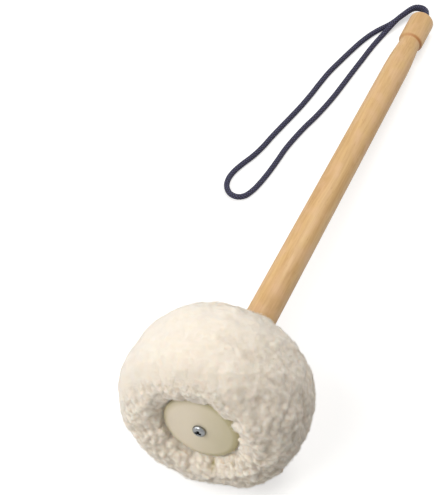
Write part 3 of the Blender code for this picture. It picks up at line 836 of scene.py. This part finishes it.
class MALLET_OT_screw(bpy.types.Operator):
    """Make the pan head screw, its driver cross and its thread"""

    bl_idname = "mallet.screw"
    bl_label = "Clamp Screw"

    def execute(self, context):
        size, disc = context.scene.mallet_screw, context.scene.mallet_disc
        seat = -disc.front - CLEARANCE
        tip = seat + size.reach
        dome_spans, fullness = 11, 0.87
        dome = []
        for k in range(dome_spans):
            angle = math.pi / 2 * k / dome_spans
            dome.append((size.head / 2 * math.cos(angle) ** fullness,
                         seat - size.head_height * math.sin(angle) ** fullness, 0.0))
        profile = eased([(0.0, tip, 0.0), (size.core / 2, tip - size.point, 0.0),
                         (size.core / 2, seat, 0.0)] + dome + [(0.0, seat - size.head_height, 0.0)])
        screw = turned_object("clamp_screw_driven", profile, 64)
        self.drive(screw, size, seat)
        thread = new_object("screw_thread", bpy.data.meshes.new("screw_thread"))
        give_tree(thread, thread_tree(), Length=size.reach - size.point - size.pitch, Pitch=size.pitch,
                  Root=size.core / 2, Ridge=(size.diameter - size.core) / 2,
                  Material=finishes()["zinc_plate"])
        flatten(thread)
        thread.data.transform(mallet_place() @ Matrix.Translation((0.0, 0.0, seat + size.pitch)))
        finish_piece(screw, "clamp_screw", finishes()["zinc_plate"])
        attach(thread, BODY)
        return {"FINISHED"}

    @staticmethod
    def drive(screw, size, seat):
        """Cut the driver cross, each arm narrower at its foot."""
        top = seat - size.head_height
        mouth, foot = 1.2, 0.55
        for turn in (0.0, math.pi / 2):
            place, spin = mallet_place(), Matrix.Rotation(turn, 3, "Z")
            corners = []
            for z, share in ((top - size.cross_depth, mouth), (top + size.cross_depth, foot)):
                half = size.cross_width / 2 * share
                for x, y in ((-half, -1), (half, -1), (half, 1), (-half, 1)):
                    point = spin @ Vector((x, y * size.cross_slot / 2, z))
                    corners.append(tuple(place @ point))
            faces = [(3, 2, 1, 0), (4, 5, 6, 7), (0, 1, 5, 4), (1, 2, 6, 5), (2, 3, 7, 6), (3, 0, 4, 7)]
            arm = bpy.data.meshes.new("cross_arm")
            arm.from_pydata(corners, [], faces)
            cutter = new_object("cross_arm", arm)
            cut = screw.modifiers.new("cross", "BOOLEAN")
            cut.operation = "DIFFERENCE"
            cut.solver = "EXACT"
            cut.object = cutter
            flatten(screw)
            bpy.data.objects.remove(cutter, do_unlink=True)
        screw.data.shade_smooth()
        screw.data.set_sharp_from_angle(angle=math.radians(35))


# Fleece cover

def superellipse(half_width, reach, squareness, angles):
    radii = half_width * np.cos(angles) ** (2 / squareness)
    return radii, reach * np.sin(angles) ** (2 / squareness)


def fleece_controls(size, disc):
    """The fleece's outside from the handle to the disc, before it is softened."""
    front_squareness, rear_squareness = 3.1, 2.55
    half, crown = size.diameter / 2, -size.crown
    bore = bpy.context.scene.mallet_handle.head_end / 2 + CLEARANCE
    rear_roll, front_roll = size.rear_roll / 2, size.front_roll / 2
    rear_end = math.acos((rear_roll / half) ** (rear_squareness / 2))
    front_end = math.acos((front_roll / half) ** (front_squareness / 2))
    rear = superellipse(half, size.rear_reach, rear_squareness, np.linspace(rear_end, 0.0, 30)[:-1])
    front = superellipse(half, size.front_reach, front_squareness, np.linspace(0.0, front_end, 30))
    rear_crest = crown + rear[1][0] + size.rear_height
    front_crest = crown - front[1][-1] - size.front_height
    face, side = -disc.front, disc.diameter / 2 + CLEARANCE
    controls = [(bore + (rear_roll - bore) * out, rear_crest - size.dimple * (1 - up))
                for out, up in ((0.0, 0.0), (0.35, 0.45), (0.75, 1.0))]
    controls += list(zip(rear[0], crown + rear[1])) + list(zip(front[0], crown - front[1]))
    controls += [(front_roll + (side - front_roll) * inward, face + (front_crest - face) * up)
                 for inward, up in ((0.30, 1.0), (0.60, 0.72), (0.90, 0.12))]
    controls.append((side, disc.thickness + face + CLEARANCE))
    return np.array(controls)


def evenly(points, count):
    """A line's points again, spaced evenly."""
    steps = np.linalg.norm(np.diff(points, axis=0), axis=1)
    along = np.concatenate([[0.0], np.cumsum(steps)])
    wanted = np.linspace(0.0, along[-1], count)
    return np.stack([np.interp(wanted, along, points[:, k]) for k in range(points.shape[1])], axis=1)


def softened(points, reach):
    """A line with its corners softened over a reach in metres, its ends kept."""
    step = np.linalg.norm(np.diff(points, axis=0), axis=1).mean()
    half = int(3 * reach / step)
    weights = np.exp(-0.5 * (np.arange(-half, half + 1) * step / reach) ** 2)
    weights /= weights.sum()
    smooth = []
    for k in range(points.shape[1]):
        row = points[:, k]
        before, after = 2 * row[0] - row[half:0:-1], 2 * row[-1] - row[-2:-half - 2:-1]
        smooth.append(np.convolve(np.concatenate([before, row, after]), weights, "valid"))
    return np.stack(smooth, axis=1)


def fleece_inside(size, disc):
    """The hems and the space for the padding, clear of the pieces inside."""
    felt, core, hole, thread_out = (diameter_of(node) / 2 for node in (
        "felt_padding", "head_core", "front_draw_thread", "rear_draw_thread"))
    felt, hole, thread_out = felt + CLEARANCE, hole + CLEARANCE, thread_out + CLEARANCE
    bore = bpy.context.scene.mallet_handle.head_end / 2 + CLEARANCE
    hem_front = disc.thickness - disc.front + CLEARANCE
    hem_back = hem_front + size.hem
    felt_front, rear_hem = hem_back - 0.0045, 0.0042
    return eased([
        (hole, hem_front, 0.0), (hole, hem_back, 0.0), (core, hem_back, 0.0),
        (core, felt_front, 0.0040), (felt, felt_front, 0.0048), (felt, 0.0, 0.0100),
        (thread_out, 0.0, 0.0), (thread_out, rear_hem, 0.0), (bore, rear_hem, 0.0)])


def smooth_step(share):
    """A share from 0 to 1, eased at both ends."""
    return share * share * (3 - 2 * share)


def faded(distance, reach):
    """1 at no distance, 0 past the reach."""
    return np.clip(1 - distance / reach, 0, 1)


def wrapped(angles):
    """Angles brought between minus and plus half a turn."""
    return np.angle(np.exp(1j * angles))


def fold_field(size, disc, radii, heights, angles):
    """How deep each place is drawn in by the gathers, and how strongly it is the seam."""
    chance = np.random.default_rng(size.seed)
    start, seam_width, first_strength = math.radians(72), 0.0009, 1.7
    bore = bpy.context.scene.mallet_handle.head_end / 2
    front = faded(radii - disc.diameter / 2, size.fold_reach) * (heights < disc.thickness - disc.front)
    rear = 0.7 * faded(radii - bore, size.rear_fold_reach) * (heights > 0)
    reach = smooth_step(front + rear)
    depth = np.zeros((len(radii), len(angles)))
    for k in range(size.fold_count):
        shift = 0.0 if k == 0 else chance.uniform(-0.10, 0.10)
        strength = first_strength if k == 0 else chance.uniform(0.6, 1.2)
        away = wrapped(angles - start - shift - math.tau * k / size.fold_count)
        across = np.abs(away)[None, :] * radii[:, None]
        depth = np.maximum(depth, np.exp(-(across / size.fold_width) ** 2) * reach[:, None] * strength)
        if k == 0:
            seam = np.exp(-(across / seam_width) ** 2) * np.clip((front - 0.35) / 0.2, 0, 1)[:, None]
    return depth * size.fold_depth, seam


# Where the head is fuller or flatter than a turned shape: the place's angle in degrees, its radius
# and z, then how far it stands out and how far that reaches.
SWELLS = (
    (150, 0.045, -0.058, 0.0006, 0.025),
    (193, 0.054, -0.036, 0.0003, 0.022),
    (17, 0.054, -0.034, -0.0013, 0.024),
    (73, 0.040, -0.063, -0.0017, 0.022),
    (18, 0.047, -0.056, -0.0016, 0.007),
    (330, 0.042, -0.062, 0.0008, 0.010),
    (275, 0.054, -0.020, -0.0007, 0.018),
    (235, 0.035, -0.002, -0.0012, 0.008),
    (25, 0.053, -0.044, -0.0010, 0.009),
    (118, 0.036, -0.064, -0.0012, 0.006),
    (205, 0.034, -0.063, -0.0010, 0.007),
)


def swell_field(points):
    """How far each point of the fleece stands out from the turned shape."""
    total = np.zeros(points.shape[:2])
    for degrees, radius, z, height, reach in SWELLS:
        angle = math.radians(degrees)
        middle = np.array([radius * math.cos(angle), radius * math.sin(angle), z])
        away = np.linalg.norm(points - middle, axis=2)
        total += height * np.exp(-(away / reach) ** 2)
    return total


def lean_over_disc(points, size, disc):
    """Lean the pile beside the disc inwards over its rim, most on its upper side."""
    radius = np.hypot(points[..., 0], points[..., 1])
    angle = np.arctan2(points[..., 1], points[..., 0])
    upper_right, lower_right = math.radians(-56), math.radians(55)
    roll_height, roll_reach = 0.0012, 0.010
    in_front = np.clip((-points[..., 2] - disc.front + CLEARANCE) / roll_height, 0, 1)
    near = smooth_step(faded(radius - disc.diameter / 2, roll_reach))
    upper = 0.20 + 0.80 * np.sqrt(np.clip(np.cos(angle - upper_right), 0, 1))
    upper += 0.25 * np.clip(np.cos(angle - lower_right), 0, 1) ** 2
    uneven = 1 + 0.25 * np.sin(7 * angle + 1.0) + 0.15 * np.sin(17 * angle)
    shift = size.overhang * in_front * near * upper * uneven
    points[..., :2] *= ((radius - shift) / radius)[..., None]


def curly_field(size, disc, outline, angles):
    """How curly the pile is: less on the brushed upper left, more beside the disc and low right."""
    radii, heights = outline[:, 0, None], outline[:, 1, None]
    brushed, low_right, low_left = math.radians(225), math.radians(25), math.radians(155)
    brushed_width, brushed_edge = math.radians(38), math.radians(46)
    side_curl, disc_curl, low_right_curl = 0.42, 0.15, 0.8
    waver = 0.16 * np.sin(heights * 140) + 0.10 * np.sin(heights * 330 + 1)
    away = np.abs(wrapped(angles - brushed))[None, :]
    beyond = np.clip((away + waver - brushed_width) / brushed_edge, 0, 1)
    ring_start = 0.0025 - 0.0040 * np.clip(np.cos(angles - low_left), 0, 1)[None, :] ** 2
    ring = np.clip((-disc.front - ring_start - heights) / 0.005, 0, 1)
    behind = np.clip((heights + 0.018) / 0.016, 0, 1)
    curly = np.maximum(side_curl * smooth_step(beyond), ring)
    curly = np.maximum(curly, side_curl * smooth_step(behind))
    beside = faded(radii - disc.diameter / 2, 0.012) * (ring > 0)
    shaggy = np.exp(-(wrapped(angles - low_right) / math.radians(40)) ** 2)[None, :]
    shaggy = low_right_curl * shaggy * np.clip((-0.022 - heights) / 0.020, 0, 1)
    return size.brushed + (1 - size.brushed) * curly + disc_curl * beside + shaggy


def pile_tree():
    """Geometry nodes that raise curly wool on the fleece."""
    wiring, given = open_group("Geometry", "Curly Pile", [
        ("Geometry", "Geometry"), ("Clump", "Float", 0.006), ("Curl", "Float", 0.002),
        ("Depth", "Float", 0.002), ("Seed", "Float", 0.0), ("Material", "Material")])
    position = wiring.get("GeometryNodeInputPosition")
    normal = wiring.get("GeometryNodeInputNormal", output="Normal")
    pile = wiring.named("pile")
    place = position + wiring.vector("MULTIPLY", (0.37, 0.61, 0.83), given["Seed"])
    clump_scale, curl_scale = 1.0 / given["Clump"], 1.0 / given["Curl"]
    swirl = wiring.noise(place, curl_scale * 0.6, 1.0, output="Color") - (0.5, 0.5, 0.5)
    bent = place + swirl * (given["Curl"] * 0.45)

    def tufts(scale):
        away = wiring.cells(bent, scale, "SMOOTH_F1", Smoothness=0.15) * 1.35
        return wiring.math("SUBTRACT", 1.0, away * away, clamp=True)

    tight = wiring.ramp(pile, 0.6, 1.3, 0.25, 0.45)
    curls = wiring.between(tight, tufts(curl_scale), tufts(curl_scale * 1.35))
    billows = wiring.ramp(wiring.noise(place, curl_scale * 0.9), 0.25, 0.75)
    curls = wiring.between(wiring.ramp(pile, 0.25, 0.60), billows, curls)
    clumps = wiring.ramp(wiring.noise(place, clump_scale, 1.0), 0.30, 0.70)
    broad = wiring.noise(place, clump_scale * 0.55, 1.0)
    full_pile = wiring.math("MINIMUM", pile, 1.0)
    height = wiring.between(full_pile, 0.60, clumps * 0.35 + curls * 0.65)
    # pile_height keeps how high each place of the pile stands, for the painted shade in its crevices.
    kept = wiring.stored(given["Geometry"], "pile_height", height)
    raised = (clumps - 0.5) * full_pile * 0.5 + (curls - 0.6) * pile * 1.1 + (broad - 0.5) * 1.6
    moved = normal * (raised * given["Depth"]) + swirl * (given["Curl"] * 0.15 * pile)
    blur = wiring.node("GeometryNodeBlurAttribute", {"Iterations": 3}, data_type="FLOAT_VECTOR")
    wiring.feed(next(socket for socket in blur.inputs if socket.enabled), moved)
    blurred = Socket(wiring, next(socket for socket in blur.outputs if socket.enabled))
    shaped = wiring.get("GeometryNodeSetPosition", {"Geometry": kept, "Offset": blurred})
    return wiring.painted(shaped, given["Material"])


def fibre_tree():
    """Geometry nodes that scatter curved wool fibres over the fleece."""
    wiring, given = open_group("Geometry", "Wool Fibres", [
        ("Geometry", "Geometry"), ("Spacing", "Float", 0.001), ("Curl", "Float", 0.001),
        ("Radius", "Float", 0.0001), ("Seed", "Int", 0), ("Part", "Float", 0.0), ("Parts", "Float", 1.0),
        ("Material", "Material")])
    pile = wiring.named("pile")
    scattered = wiring.outputs(wiring.node("GeometryNodeDistributePointsOnFaces", {
        "Mesh": given["Geometry"], "Distance Min": given["Spacing"], "Density Max": 3000000.0,
        "Density Factor": wiring.ramp(pile, 0.02, 0.2), "Seed": given["Seed"]}, distribute_method="POISSON"))
    points = wiring.stored(scattered["Points"], "standing", wiring.ramp(pile, 0.0, 0.6))
    points = wiring.stored(points, "facing", scattered["Rotation"], "QUATERNION")
    turn = wiring.math("MODULO", wiring.get("GeometryNodeInputIndex"), given["Parts"])
    others = wiring.math("GREATER_THAN", wiring.math("ABSOLUTE", turn - given["Part"]), 0.5)
    points = wiring.get("GeometryNodeDeleteGeometry", {"Geometry": points, "Selection": others},
                        domain="POINT")

    arc = wiring.get("GeometryNodeCurveSpiral", {
        "Resolution": 12, "Rotations": 0.42, "Start Radius": given["Curl"],
        "End Radius": given["Curl"] * 0.35, "Height": given["Curl"] * 0.6})
    along = wiring.get("GeometryNodeSplineParameter", output="Factor")
    fibre = wiring.swept(arc, wiring.ring(3, given["Radius"]), Scale=wiring.ramp(along, 0.4, 1.1, 1.0, 0.2))

    stand = wiring.named("standing")
    seeds = [given["Seed"] + float(k) for k in range(1, 6)]
    sway = wiring.ramp(stand, 0.0, 1.0, 0.12, 0.55)
    tilt = wiring.from_parts(wiring.chance(-1.0, 1.0, seeds[0]) * sway,
                             wiring.chance(-1.0, 1.0, seeds[1]) * sway,
                             wiring.chance(0.0, math.tau, seeds[2]))
    spun = wiring.get("FunctionNodeRotateRotation", {
        "Rotation": wiring.named("facing", "QUATERNION"),
        "Rotate By": wiring.get("FunctionNodeEulerToRotation", {"Euler": tilt})}, rotation_space="LOCAL")
    size = wiring.chance(0.7, 1.25, seeds[3]) * wiring.ramp(stand, 0.0, 1.0, 0.55, 1.0)
    scale = wiring.from_parts(size, size, size * wiring.ramp(stand, 0.0, 1.0, 0.45, 1.0))
    placed = wiring.get("GeometryNodeInstanceOnPoints", {
        "Points": points, "Instance": fibre, "Rotation": spun, "Scale": scale})
    toned = wiring.stored(placed, "pile_height", wiring.chance(0.5, 0.9, seeds[4]), domain="INSTANCE")
    return wiring.painted(toned, given["Material"], smooth=True)


def settle(wool, disc):
    """Press the wool flat on the table and hold it clear of the disc and the handle."""
    place = mallet_place()
    own = move_points(mesh_points(wool.data), place.inverted())
    radius = np.maximum(np.hypot(own[:, 0], own[:, 1]), 1e-6)
    bore = bpy.context.scene.mallet_handle.head_end / 2 + WOOL_CLEARANCE
    in_dimple = own[:, 2] > 0.004
    beside_disc = (own[:, 2] > -disc.front - CLEARANCE) & (own[:, 2] < disc.thickness - disc.front)
    inner = np.where(beside_disc, disc.diameter / 2 + WOOL_CLEARANCE, np.where(in_dimple, bore, 0.0))
    own[:, :2] *= (np.maximum(radius, inner) / radius)[:, None]
    world = move_points(own, place)
    world[:, 2] = np.maximum(world[:, 2], 0.0)
    wool.data.vertices.foreach_set("co", world.ravel())
    wool.data.update()


class MALLET_OT_fibres(bpy.types.Operator):
    """Scatter curved wool fibres over the fleece"""

    bl_idname = "mallet.fibres"
    bl_label = "Wool Fibres"

    def execute(self, context):
        size = context.scene.mallet_fleece
        tree = fibre_tree()
        for k in range(size.fibre_parts):
            fibres = new_object(f"wool_fibres_{k + 1}", bpy.data.objects["fleece_pile"].data.copy())
            give_tree(fibres, tree, Spacing=size.fibre_spacing, Curl=size.fibre_curl,
                      Radius=size.fibre_radius, Seed=size.seed, Part=float(k),
                      Parts=float(size.fibre_parts), Material=finishes()["loose_wool"])
            flatten(fibres)
            settle(fibres, context.scene.mallet_disc)
            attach(fibres, BODY)
        return {"FINISHED"}


class MALLET_OT_fleece(bpy.types.Operator):
    """Draw the fleece over the head, gather it at both ends and raise its pile"""

    bl_idname = "mallet.fleece"
    bl_label = "Fleece Cover"

    def execute(self, context):
        size, disc = context.scene.mallet_fleece, context.scene.mallet_disc
        rows, steps, edge_rows = 260, 640, 6.0
        fine_rows, softening = 420, 0.0016
        outline = evenly(fleece_controls(size, disc), fine_rows)
        outline = evenly(softened(outline, softening), rows)
        inside = fleece_inside(size, disc)
        profile = np.concatenate([outline, inside])
        points = turned_points(profile, steps)
        angles = np.arange(steps) * math.tau / steps

        along = np.gradient(outline, axis=0)
        along /= np.linalg.norm(along, axis=1)[:, None]
        normals = turned_points(np.stack([-along[:, 1], along[:, 0]], axis=1), steps)
        depth, seam = fold_field(size, disc, outline[:, 0], outline[:, 1], angles)
        swell = swell_field(points[:rows]) - size.inset
        points[:rows] += normals * (swell - depth)[:, :, None]
        lean_over_disc(points[:rows], size, disc)

        edge = np.clip(np.minimum(np.arange(rows), np.arange(rows)[::-1]) / edge_rows, 0, 1)
        pile = edge[:, None] * curly_field(size, disc, outline, angles)
        fleece = mesh_object("fleece_pile", points, turned_faces(len(profile), steps, True), 180.0)
        for name, values in (("pile", pile), ("seam", seam)):
            kept = fleece.data.attributes.new(name, "FLOAT", "POINT")
            hidden = np.zeros(len(inside) * steps)
            kept.data.foreach_set("value", np.concatenate([values.ravel(), hidden]).astype(np.float32))
        give_tree(fleece, pile_tree(), Clump=size.clump, Curl=size.curl, Depth=size.pile,
                  Seed=float(size.seed), Material=finishes()["ivory_fleece"])
        flatten(fleece)
        settle(fleece, disc)
        fleece.data.shade_smooth()
        finish_piece(fleece, "fleece_cover", finishes()["ivory_fleece"])
        return {"FINISHED"}


# Pieces hidden in the head

class MALLET_OT_inside(bpy.types.Operator):
    """Finish the core, the felt and the threads that are hidden in the head"""

    bl_idname = "mallet.inside"
    bl_label = "Inside of the Head"

    def execute(self, context):
        for node, finish in (("head_core", "turned_softwood"), ("felt_padding", "grey_felt"),
                             ("front_draw_thread", "waxed_thread"), ("rear_draw_thread", "waxed_thread")):
            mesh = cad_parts[node].data
            mesh.materials.clear()
            mesh.materials.append(finishes()[finish])
        return {"FINISHED"}


# Wrist cord

# The route's points are measured from the middle of the knob's end face: x to the right, y along
# the table past the knob, and how far the cord is lifted off the table.
OUTER_STRAND = (
    (0.0009, 0.0034, 0.0039), (0.0009, 0.0067, 0.0036), (0.0000, 0.0101, 0.0034),
    (-0.0025, 0.0126, 0.0032), (-0.0059, 0.0135, 0.0030), (-0.0093, 0.0126, 0.0027),
    (-0.0118, 0.0101, 0.0024), (-0.0142, 0.0059, 0.0019), (-0.0162, 0.0023, 0.0014),
    (-0.0179, -0.0009, 0.0009), (-0.0198, -0.0044, 0.0004), (-0.0224, -0.0083, 0.0000),
    (-0.0257, -0.0131, 0.0000), (-0.0296, -0.0200, 0.0000), (-0.0334, -0.0290, 0.0000),
    (-0.0368, -0.0395, 0.0000), (-0.0403, -0.0515, 0.0000), (-0.0436, -0.0635, 0.0000),
    (-0.0458, -0.0755, 0.0000), (-0.0476, -0.0870, 0.0000), (-0.0498, -0.0985, 0.0000),
    (-0.0524, -0.1095, 0.0000), (-0.0552, -0.1205, 0.0000), (-0.0578, -0.1310, 0.0000),
    (-0.0603, -0.1425, 0.0000), (-0.0632, -0.1520, 0.0000), (-0.0668, -0.1605, 0.0000),
    (-0.0696, -0.1685, 0.0000), (-0.0706, -0.1755, 0.0000), (-0.0692, -0.1820, 0.0000),
    (-0.0653, -0.1865, 0.0000), (-0.0603, -0.1875, 0.0000),
)
INNER_STRAND = (
    (0.0009, 0.0026, 0.0079), (0.0009, 0.0052, 0.0076), (0.0001, 0.0083, 0.0073),
    (-0.0022, 0.0106, 0.0070), (-0.0053, 0.0114, 0.0066), (-0.0084, 0.0106, 0.0062),
    (-0.0107, 0.0083, 0.0058), (-0.0134, 0.0035, 0.0052), (-0.0153, -0.0002, 0.0047),
    (-0.0167, -0.0034, 0.0042), (-0.0180, -0.0067, 0.0034), (-0.0195, -0.0104, 0.0021),
    (-0.0210, -0.0143, 0.0008), (-0.0223, -0.0185, 0.0000), (-0.0249, -0.0305, 0.0000),
    (-0.0270, -0.0440, 0.0000), (-0.0292, -0.0580, 0.0000), (-0.0311, -0.0710, 0.0000),
    (-0.0329, -0.0825, 0.0000), (-0.0352, -0.0940, 0.0000), (-0.0379, -0.1050, 0.0000),
    (-0.0410, -0.1155, 0.0000), (-0.0438, -0.1270, 0.0000), (-0.0460, -0.1385, 0.0000),
    (-0.0472, -0.1495, 0.0000), (-0.0486, -0.1605, 0.0000), (-0.0504, -0.1705, 0.0000),
    (-0.0525, -0.1785, 0.0000), (-0.0558, -0.1850, 0.0000),
)


def cord_route(size, handle):
    """The cord's points from one end in the hole, round the loop and back to the other end."""
    place = mallet_place()

    def in_hole(side):
        points = []
        for out in (0.0, 0.5, 1.0):
            z = handle.whole - size.end_depth * (1 - out)
            points.append(place @ Vector((size.mouth_lean * out, side * size.spacing / 2, z)))
        return points

    def on_table(strand):
        return [Vector((KNOB_FACE.x + x, KNOB_FACE.y + y, size.lying + lift)) for x, y, lift in strand]

    there = in_hole(1) + on_table(OUTER_STRAND)
    back = in_hole(-1) + on_table(INNER_STRAND)
    return there + back[::-1]


def weighed(first, second, start, end, t):
    """The place at t on the way from one point at start to another at end."""
    return first * ((end - t) / (end - start)) + second * ((t - start) / (end - start))


def smooth_line(points, samples):
    """A centripetal curve through the points."""
    ends = [points[0] * 2 - points[1]] + list(points) + [points[-1] * 2 - points[-2]]
    fine = []
    for i in range(1, len(ends) - 2):
        p0, p1, p2, p3 = ends[i - 1:i + 3]
        t1 = (p1 - p0).length ** 0.5
        t2 = t1 + (p2 - p1).length ** 0.5
        t3 = t2 + (p3 - p2).length ** 0.5
        for k in range(samples):
            t = t1 + (t2 - t1) * k / samples
            middle = weighed(p1, p2, t1, t2, t)
            before = weighed(weighed(p0, p1, 0.0, t1, t), middle, 0.0, t2, t)
            after = weighed(middle, weighed(p2, p3, t2, t3, t), t1, t3, t)
            fine.append(weighed(before, after, t1, t2, t))
    return fine + [points[-1]]


def braid_tree():
    """Geometry nodes that sweep a braided tube along the cord's line."""
    wiring, given = open_group("Geometry", "Braided Cord", [
        ("Geometry", "Geometry"), ("Radius", "Float", 0.00175), ("Relief", "Float", 0.0002),
        ("Yarns", "Float", 5.0), ("Pitch", "Float", 0.008), ("Step", "Float", 0.0005),
        ("Material", "Material")])
    line = wiring.get("GeometryNodeResampleCurve", {"Curve": given["Geometry"], "Length": given["Step"]},
                      mode="LENGTH")
    line = wiring.stored(line, "run", wiring.get("GeometryNodeSplineParameter", output="Length"))
    ring = wiring.stored(wiring.ring(24, given["Radius"]), "turn",
                         wiring.get("GeometryNodeSplineParameter", output="Factor"))
    twist = wiring.named("run") / given["Pitch"] * math.tau
    spin = wiring.named("turn") * math.tau

    def yarn_wave(direction):
        half = (spin + twist * direction) * (given["Yarns"] * 0.5)
        return wiring.math("POWER", wiring.math("ABSOLUTE", wiring.math("SINE", half)), 0.6)

    crossing = yarn_wave(1.0) * yarn_wave(-1.0)
    kept = wiring.stored(wiring.swept(line, ring), "relief", crossing)
    normal = wiring.get("GeometryNodeInputNormal", output="Normal")
    shaped = wiring.get("GeometryNodeSetPosition", {
        "Geometry": kept, "Offset": normal * ((crossing - 0.4) * given["Relief"])})
    return wiring.painted(shaped, given["Material"], smooth=True)


class MALLET_OT_cord(bpy.types.Operator):
    """Lay the braided wrist cord from the knob's hole round its loop and back"""

    bl_idname = "mallet.cord"
    bl_label = "Wrist Cord"

    def execute(self, context):
        size, handle = context.scene.mallet_cord, context.scene.mallet_handle
        samples, line_points, braid_step, lowest = 12, 400, 0.0005, 0.0001
        fine = smooth_line(cord_route(size, handle), samples)
        line = np.array([(p.x, p.y, max(p.z, size.lying)) for p in fine])
        line = evenly(line, line_points)
        curve = bpy.data.curves.new("cord_line", "CURVE")
        curve.dimensions = "3D"
        spline = curve.splines.new("POLY")
        spline.points.add(len(line) - 1)
        spline.points.foreach_set("co", np.hstack([line, np.ones((len(line), 1))]).ravel())
        source = new_object("cord_line", curve)
        give_tree(source, braid_tree(), Radius=size.diameter / 2, Relief=size.relief,
                  Yarns=float(size.yarns), Pitch=size.pitch, Step=braid_step,
                  Material=finishes()["navy_braid"])
        tube = plain_mesh(source)
        bpy.data.objects.remove(source, do_unlink=True)
        points = mesh_points(tube)
        points[:, 2] = np.maximum(points[:, 2], lowest)
        tube.vertices.foreach_set("co", points.ravel())
        cord = new_object("wrist_cord_braid", tube)
        cord.data.shade_smooth()
        finish_piece(cord, "wrist_cord", finishes()["navy_braid"])
        return {"FINISHED"}


# Table, light and camera

# Places of the camera and the lamps, measured from the handle's shoulder.
CAMERA_PLACE = (0.215466, -0.546216, 0.870928)
LAMP_PLACES = {"front": (-0.36, -0.58, 0.84), "top": (0.10, 0.66, 0.90), "side": (-0.80, -0.42, 0.42)}


class MALLET_OT_stage(bpy.types.Operator):
    """Set the pale table, the soft light and the camera"""

    bl_idname = "mallet.stage"
    bl_label = "Stage"

    def execute(self, context):
        stage = context.scene.mallet_stage
        shoulder = mallet_place().to_translation()
        self.camera(context, stage, shoulder)
        self.table(stage)
        self.world(context, stage)
        for name, place in LAMP_PLACES.items():
            light = bpy.data.lights.new(name, "AREA")
            light.energy = getattr(stage, f"{name}_light")
            light.size = stage.lamp_side
            lamp = new_object(name, light)
            lamp.location = shoulder + Vector(place)
            lamp.rotation_euler = (shoulder - lamp.location).to_track_quat("-Z", "Y").to_euler()
        context.scene.view_settings.view_transform = "Standard"
        return {"FINISHED"}

    @staticmethod
    def camera(context, stage, shoulder):
        lens = bpy.data.cameras.new("camera")
        lens.sensor_width = 36.0
        lens.lens = stage.focal
        lens.clip_start, lens.clip_end = 0.05, 20.0
        camera = new_object("camera", lens)
        camera.location = shoulder + Vector(CAMERA_PLACE)
        camera.rotation_euler = (math.pi / 2 - stage.elevation, 0.0, stage.azimuth)
        context.scene.camera = camera

    @staticmethod
    def table(stage):
        """A wide table that is white to the camera, apart from the mallet's shadow on it."""
        mesh = bpy.data.meshes.new("table")
        side, glow_start, glow_end = 6.0, 0.45, 1.4
        mesh.from_pydata([(x * side, y * side, 0.0) for x, y in ((-1, -1), (1, -1), (1, 1), (-1, 1))],
                         [], [(0, 1, 2, 3)])
        table = new_object("table", mesh)
        wiring = new_material("pale_table")
        where = wiring.place()
        tone = wiring.mixed(wiring.noise(where, 3.0), stage.table, [min(1.0, v * 1.02) for v in stage.table])
        shade(wiring, Base_Color=tone, Roughness=0.8, Specular_IOR_Level=0.0)
        far = wiring.ramp(wiring.vector("LENGTH", where), glow_start, glow_end, stage.table_glow, 1.0)
        glow = wiring.get("ShaderNodeEmission", {
            "Color": (1.0, 1.0, 1.0, 1.0), "Strength": wiring.seen() * far})
        nodes = wiring.tree.nodes
        lit = Socket(wiring, nodes["Principled BSDF"].outputs[0])
        both = wiring.get("ShaderNodeAddShader", {0: lit, 1: glow})
        wiring.feed(nodes["Material Output"].inputs["Surface"], both)
        mesh.materials.append(bpy.data.materials["pale_table"])

    @staticmethod
    def world(context, stage):
        """Soft light from all round, white where the camera or a reflection sees it."""
        world = bpy.data.worlds.new("studio")
        world.use_nodes = True
        context.scene.world = world
        wiring = Wiring(world.node_tree)
        background = world.node_tree.nodes["Background"]
        background.inputs["Color"].default_value = (1.0, 1.0, 1.0, 1.0)
        light = wiring.seen() * (1.0 - stage.world_light) + stage.world_light
        wiring.feed(background.inputs["Strength"], light)


class MALLET_PT_panel(bpy.types.Panel):
    """The mallet's pieces, in the order in which they are made"""

    bl_label = "Singing Bowl Mallet"
    bl_idname = "MALLET_PT_panel"
    bl_space_type = "VIEW_3D"
    bl_region_type = "UI"
    bl_category = "Mallet"

    def draw(self, context):
        for operator, settings in PIECES:
            box = self.layout.box()
            box.operator(operator.bl_idname)
            if settings:
                group = getattr(context.scene, settings)
                for name in group.bl_rna.properties.keys():
                    if name not in ("rna_type", "name"):
                        box.prop(group, name)


PIECES = (
    (MALLET_OT_stage, "mallet_stage"),
    (MALLET_OT_cord, "mallet_cord"),
    (MALLET_OT_handle, "mallet_handle"),
    (MALLET_OT_inside, None),
    (MALLET_OT_fleece, "mallet_fleece"),
    (MALLET_OT_fibres, None),
    (MALLET_OT_disc, "mallet_disc"),
    (MALLET_OT_screw, "mallet_screw"),
)
SETTINGS = {
    "mallet_handle": HandleSettings,
    "mallet_fleece": FleeceSettings,
    "mallet_disc": DiscSettings,
    "mallet_screw": ScrewSettings,
    "mallet_cord": CordSettings,
    "mallet_stage": StageSettings,
}


def register():
    for name, group in SETTINGS.items():
        bpy.utils.register_class(group)
        setattr(bpy.types.Scene, name, PointerProperty(type=group))
    for operator, _ in PIECES:
        bpy.utils.register_class(operator)
    bpy.utils.register_class(MALLET_PT_panel)


def unregister():
    bpy.utils.unregister_class(MALLET_PT_panel)
    for operator, _ in reversed(PIECES):
        bpy.utils.unregister_class(operator)
    for name, group in SETTINGS.items():
        delattr(bpy.types.Scene, name)
        bpy.utils.unregister_class(group)


def main():
    """Build every piece in order."""
    register()
    bpy.ops.mallet.stage()
    bpy.ops.mallet.cord()
    bpy.ops.mallet.handle()
    bpy.ops.mallet.inside()
    bpy.ops.mallet.fleece()
    bpy.ops.mallet.fibres()
    bpy.ops.mallet.disc()
    bpy.ops.mallet.screw()
    bpy.context.view_layer.update()


if __name__ == "__main__":
    main()
